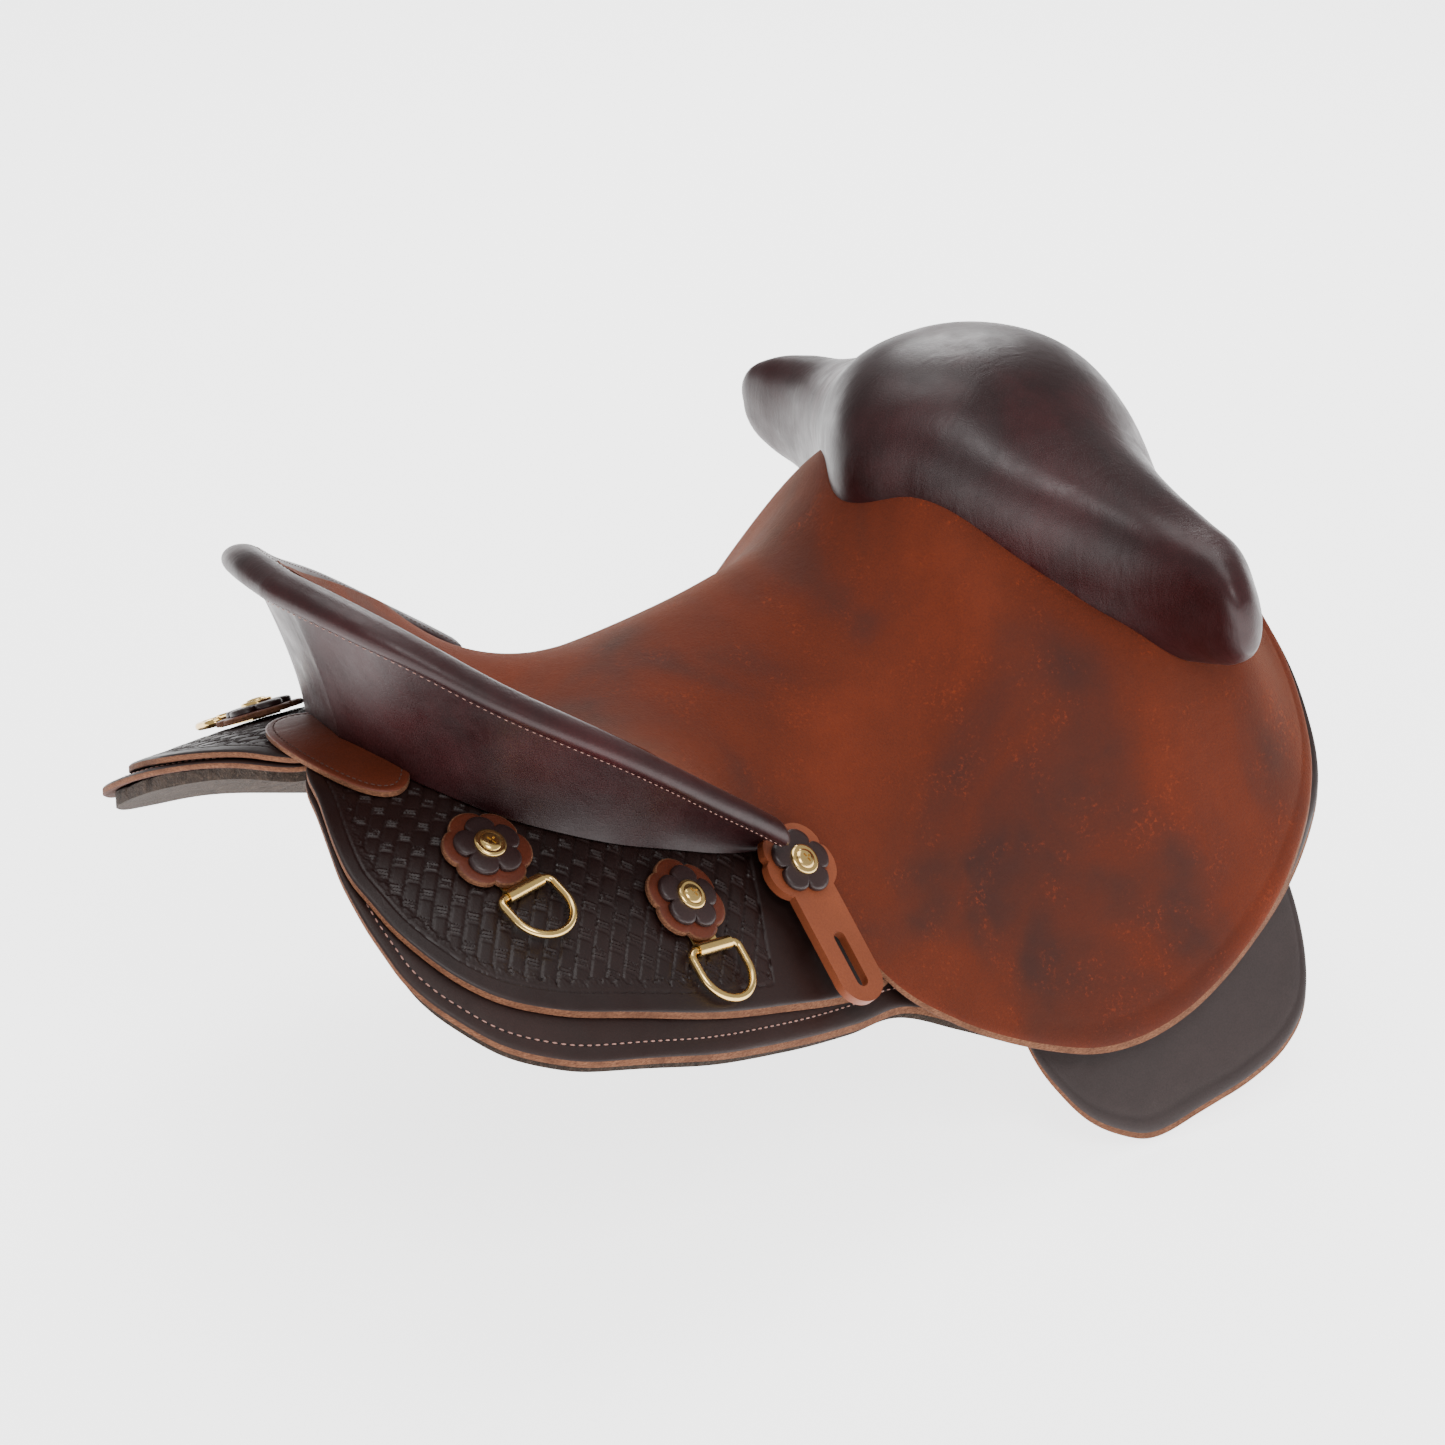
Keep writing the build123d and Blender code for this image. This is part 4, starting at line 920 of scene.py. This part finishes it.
# ---- rosettes and keepers ----------------------------------------------------
def blossom(name, matrix, z, radius, petals, notch, thick, finishes, dome=0.8, power=0.6):
    """Leather flower: a wavy disc with eased edges and dished petals, on a matrix in mm."""
    around, rings = petals * 20, 9
    bpy.ops.object.select_all(action="DESELECT")
    bpy.ops.mesh.primitive_circle_add(vertices=around, radius=1.0, fill_type="NOTHING")
    obj = bpy.context.object
    obj.name = obj.data.name = name
    bpy.ops.object.mode_set(mode="EDIT")
    bpy.ops.mesh.select_all(action="SELECT")
    for _ in range(rings + 3):
        bpy.ops.mesh.extrude_region_move()
    bpy.ops.object.mode_set(mode="OBJECT")
    a = 2 * np.pi * np.arange(around) / around
    edge = radius - notch + notch * np.abs(np.cos(petals * a / 2)) ** power
    shares = np.concatenate([[0.12], np.linspace(0.25, 0.9, rings - 2), [0.965, 1.0]])
    levels = [(sh, thick + dome * (sh * (1 - sh) * 4) * 0.5 - (0.9 if sh == 1 else
                                                             0.25 if sh > 0.95 else 0))
              for sh in shares] + [(1.0, 0.4), (0.97, 0.0), (0.5, 0.0), (0.12, 0.0)]
    points = [(edge * sh * np.cos(a), edge * sh * np.sin(a), np.full(around, z + lv))
              for sh, lv in levels[:rings + 4]]
    flat = np.concatenate([np.stack(p, -1) for p in points])
    m = np.array(matrix)
    flat = flat @ m[:3, :3].T + m[:3, 3]
    obj.data.vertices.foreach_set("co", (flat[:len(obj.data.vertices)] * MM).astype(
        np.float32).ravel())
    for f in finishes:
        obj.data.materials.append(f)
    low_ring = (rings - 1) * around
    for poly in obj.data.polygons:
        side = min(poly.vertices) >= low_ring
        poly.material_index = 1 if side else 0
    choose(obj)
    bpy.ops.object.mode_set(mode="EDIT")
    bpy.ops.mesh.select_all(action="SELECT")
    bpy.ops.mesh.normals_make_consistent(inside=False)
    bpy.ops.object.mode_set(mode="OBJECT")
    bpy.ops.object.shade_smooth_by_angle(angle=math.radians(45))
    return obj


def brass_cap(name, matrix, z, radius=9.0, tall=3.6):
    """Turned brass cap with a raised rim and a cross recess, on a matrix in mm."""
    count = 48
    profile = [(radius, 0.0), (radius, tall * 0.38), (radius * 0.965, tall * 0.52),
               (radius * 0.86, tall * 0.64), (radius * 0.76, tall * 0.66),
               (radius * 0.70, tall * 0.60), (radius * 0.66, tall * 0.60),
               (radius * 0.60, tall * 0.80), (radius * 0.42, tall * 0.95),
               (radius * 0.2, tall * 1.0)]
    a = 2 * np.pi * np.arange(count) / count
    rows = [np.stack([r * np.cos(a), r * np.sin(a), np.full(count, z + h)], -1)
            for r, h in profile]
    m = np.array(matrix)
    rows = [r @ m[:3, :3].T + m[:3, 3] for r in rows]
    obj = skin(name, rows, [FINISH["brass"], FINISH["hole"]], 35)
    bars = []
    for turn in (20, 110):
        bpy.ops.object.select_all(action="DESELECT")
        bpy.ops.mesh.primitive_cube_add(size=1.0)
        bar = bpy.context.object
        local = Matrix.Translation((0, 0, z + tall)) @ Matrix.Rotation(math.radians(turn), 4, "Z")
        local = matrix @ local @ Matrix.Diagonal((5.6, 1.1, 1.9, 1.0))
        bar.data.transform(Matrix.Scale(MM, 4) @ local)
        bars.append(bar)
    for bar in bars:
        choose(obj)
        cut = obj.modifiers.new("cross", "BOOLEAN")
        cut.operation = "DIFFERENCE"
        cut.solver = "EXACT"
        cut.object = bar
        bpy.ops.object.modifier_apply(modifier=cut.name)
        bpy.data.objects.remove(bar)
    bpy.ops.object.shade_smooth_by_angle(angle=math.radians(35))
    return obj


class SADDLE_OT_rosettes(bpy.types.Operator):
    """Set the leather rosettes, their brass caps and the keepers' flowers"""
    bl_idname = "saddle.rosettes"
    bl_label = "Rosettes"

    def execute(self, context):
        petals = sizes().petals
        for side, label in SIDES:
            for name, (x, y, turn) in ROSETTES.items():
                m = frame_on(barrel, JOCKEY_TOP, x, side * y, side * turn)
                tag = "_%s_%s" % (name, label)
                obj = blossom("rosette_scallop" + tag, m, 1.35, 25.5, 6, 3.4, 3.3,
                              [FINISH["chestnut"], FINISH["edge"]], 0.5)
                settle(obj, "saddle", "chestnut_leather", "rosette_base" + tag)
                spin = m @ Matrix.Rotation(math.radians(30 + 12 * side), 4, "Z")
                obj = blossom("rosette_petals" + tag, spin, 4.8, 19.5, petals, 6.2, 3.1,
                              [FINISH["dark"], FINISH["dark"]], 1.6, 0.5)
                settle(obj, "saddle", "dark_leather", "rosette_flower" + tag)
                obj = brass_cap("rosette_cap" + tag, m, 8.1)
                settle(obj, "saddle", "brass", "rosette_screw" + tag)
            x, y, turn = KEEPER
            m = frame_on(barrel, HIDE_TOP - KEEPER_LIFT, x, side * y, side * turn)
            spin = m @ Matrix.Rotation(math.radians(-20 * side), 4, "Z")
            obj = blossom("keeper_petals_" + label, spin, 6.0, 19.5, petals, 6.2, 3.1,
                          [FINISH["dark"], FINISH["dark"]], 1.6, 0.5)
            settle(obj, "saddle", "dark_leather", "keeper_flower_" + label)
            obj = brass_cap("keeper_cap_" + label, m, 9.3)
            settle(obj, "saddle", "brass", "keeper_screw_" + label)
        return {"FINISHED"}


# ---- nodes kept from the frame -----------------------------------------------
class SADDLE_OT_hardware(bpy.types.Operator):
    """Give the brass, the tree and the strips their finishes"""
    bl_idname = "saddle.hardware"
    bl_label = "Brass and Tree"

    def execute(self, context):
        starts = (("dee_", "brass"), ("rosette_screw", "brass"), ("rosette_nut", "brass"),
                  ("keeper_screw", "brass"), ("keeper_flower", "dark"), ("keeper", "russet"),
                  ("tree_", "wood"), ("bar_tip", "rawhide"), ("gullet", "steel"),
                  ("seat_strainer", "steel"), ("sweat_strip", "flap"), ("knee_pad", "felt"),
                  ("seat_foam", "felt"), ("rosette_base", "chestnut"), ("rosette_flower", "dark"))
        for name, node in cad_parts.items():
            for start, finish in starts:
                if name.startswith(start):
                    node.data.materials.clear()
                    node.data.materials.append(FINISH[finish])
                    break
        return {"FINISHED"}


# ---- stage -------------------------------------------------------------------
def lamp(name, place, aim, size, power, tint=(1, 1, 1)):
    light = bpy.data.lights.new(name, "AREA")
    light.energy = power
    light.shape = "RECTANGLE"
    light.size, light.size_y = size
    light.color = tint
    obj = bpy.data.objects.new(name, light)
    obj.location = place
    obj.rotation_euler = (Vector(aim) - Vector(place)).to_track_quat("-Z", "Y").to_euler()
    bpy.context.scene.collection.objects.link(obj)


class SADDLE_OT_stage(bpy.types.Operator):
    """Set the pale floor, the soft lights and the camera"""
    bl_idname = "saddle.stage"
    bl_label = "Stage"

    def execute(self, context):
        scene = context.scene
        level = CAD_BOUNDS[0][2] - 0.002
        bpy.ops.object.select_all(action="DESELECT")
        bpy.ops.mesh.primitive_plane_add(size=30, location=(0, 0, level))
        ground = context.object
        ground.name = "floor"
        paper = bpy.data.materials.new("pale_floor")
        paper.use_nodes = True
        surface = paper.node_tree.nodes["Principled BSDF"]
        surface.inputs["Base Color"].default_value = (0.9, 0.9, 0.9, 1)
        surface.inputs["Roughness"].default_value = 0.9
        surface.inputs["Emission Color"].default_value = (1, 1, 1, 1)
        surface.inputs["Emission Strength"].default_value = 2.8
        ground.data.materials.append(paper)
        world = bpy.data.worlds.new("studio")
        world.use_nodes = True
        world.node_tree.nodes["Background"].inputs["Color"].default_value = (1, 1, 1, 1)
        world.node_tree.nodes["Background"].inputs["Strength"].default_value = 0.55
        scene.world = world
        lamp("key", (-0.9, -2.0, 2.2), (0, 0, 0), (1.2, 1.2), 44)
        lamp("top", (0.3, 0.4, 2.4), (0, 0, 0), (1.8, 1.8), 36)
        lamp("rim", (1.5, 1.4, 1.1), (0, 0, 0.1), (0.8, 0.8), 20)
        camera = bpy.data.cameras.new("view")
        camera.lens = 113.4
        camera.sensor_width = 36
        camera.clip_end = 100
        holder = bpy.data.objects.new("view", camera)
        holder.location = (-1.4893, -1.8095, 1.1778)
        aim = Vector((0, -0.035, -0.003)) - holder.location
        holder.rotation_euler = aim.to_track_quat("-Z", "Y").to_euler()
        scene.collection.objects.link(holder)
        scene.camera = holder
        return {"FINISHED"}


class SADDLE_PT_panel(bpy.types.Panel):
    bl_label = "Stock Saddle"
    bl_idname = "SADDLE_PT_panel"
    bl_space_type = "VIEW_3D"
    bl_region_type = "UI"
    bl_category = "Saddle"

    def draw(self, context):
        for group in (sizes(), colours()):
            for key in group.__annotations__:
                self.layout.prop(group, key)
        for operator in PIECES:
            self.layout.operator(operator.bl_idname)


PIECES = (SADDLE_OT_hide, SADDLE_OT_rear_jockeys, SADDLE_OT_skirts, SADDLE_OT_cantle,
          SADDLE_OT_swell, SADDLE_OT_rosettes, SADDLE_OT_hardware, SADDLE_OT_stage)
CLASSES = (SaddleColours, SaddleSizes) + PIECES + (SADDLE_PT_panel,)


def register():
    for cls in CLASSES:
        bpy.utils.register_class(cls)
    bpy.types.Scene.saddle_colours = PointerProperty(type=SaddleColours)
    bpy.types.Scene.saddle_sizes = PointerProperty(type=SaddleSizes)


def unregister():
    del bpy.types.Scene.saddle_sizes
    del bpy.types.Scene.saddle_colours
    for cls in reversed(CLASSES):
        bpy.utils.unregister_class(cls)


def main():
    register()
    make_finishes(colours())
    bpy.ops.saddle.hide()
    bpy.ops.saddle.rear_jockeys()
    bpy.ops.saddle.skirts()
    bpy.ops.saddle.cantle()
    bpy.ops.saddle.swell()
    bpy.ops.saddle.rosettes()
    bpy.ops.saddle.hardware()
    bpy.ops.saddle.stage()


if __name__ == "__main__":
    main()
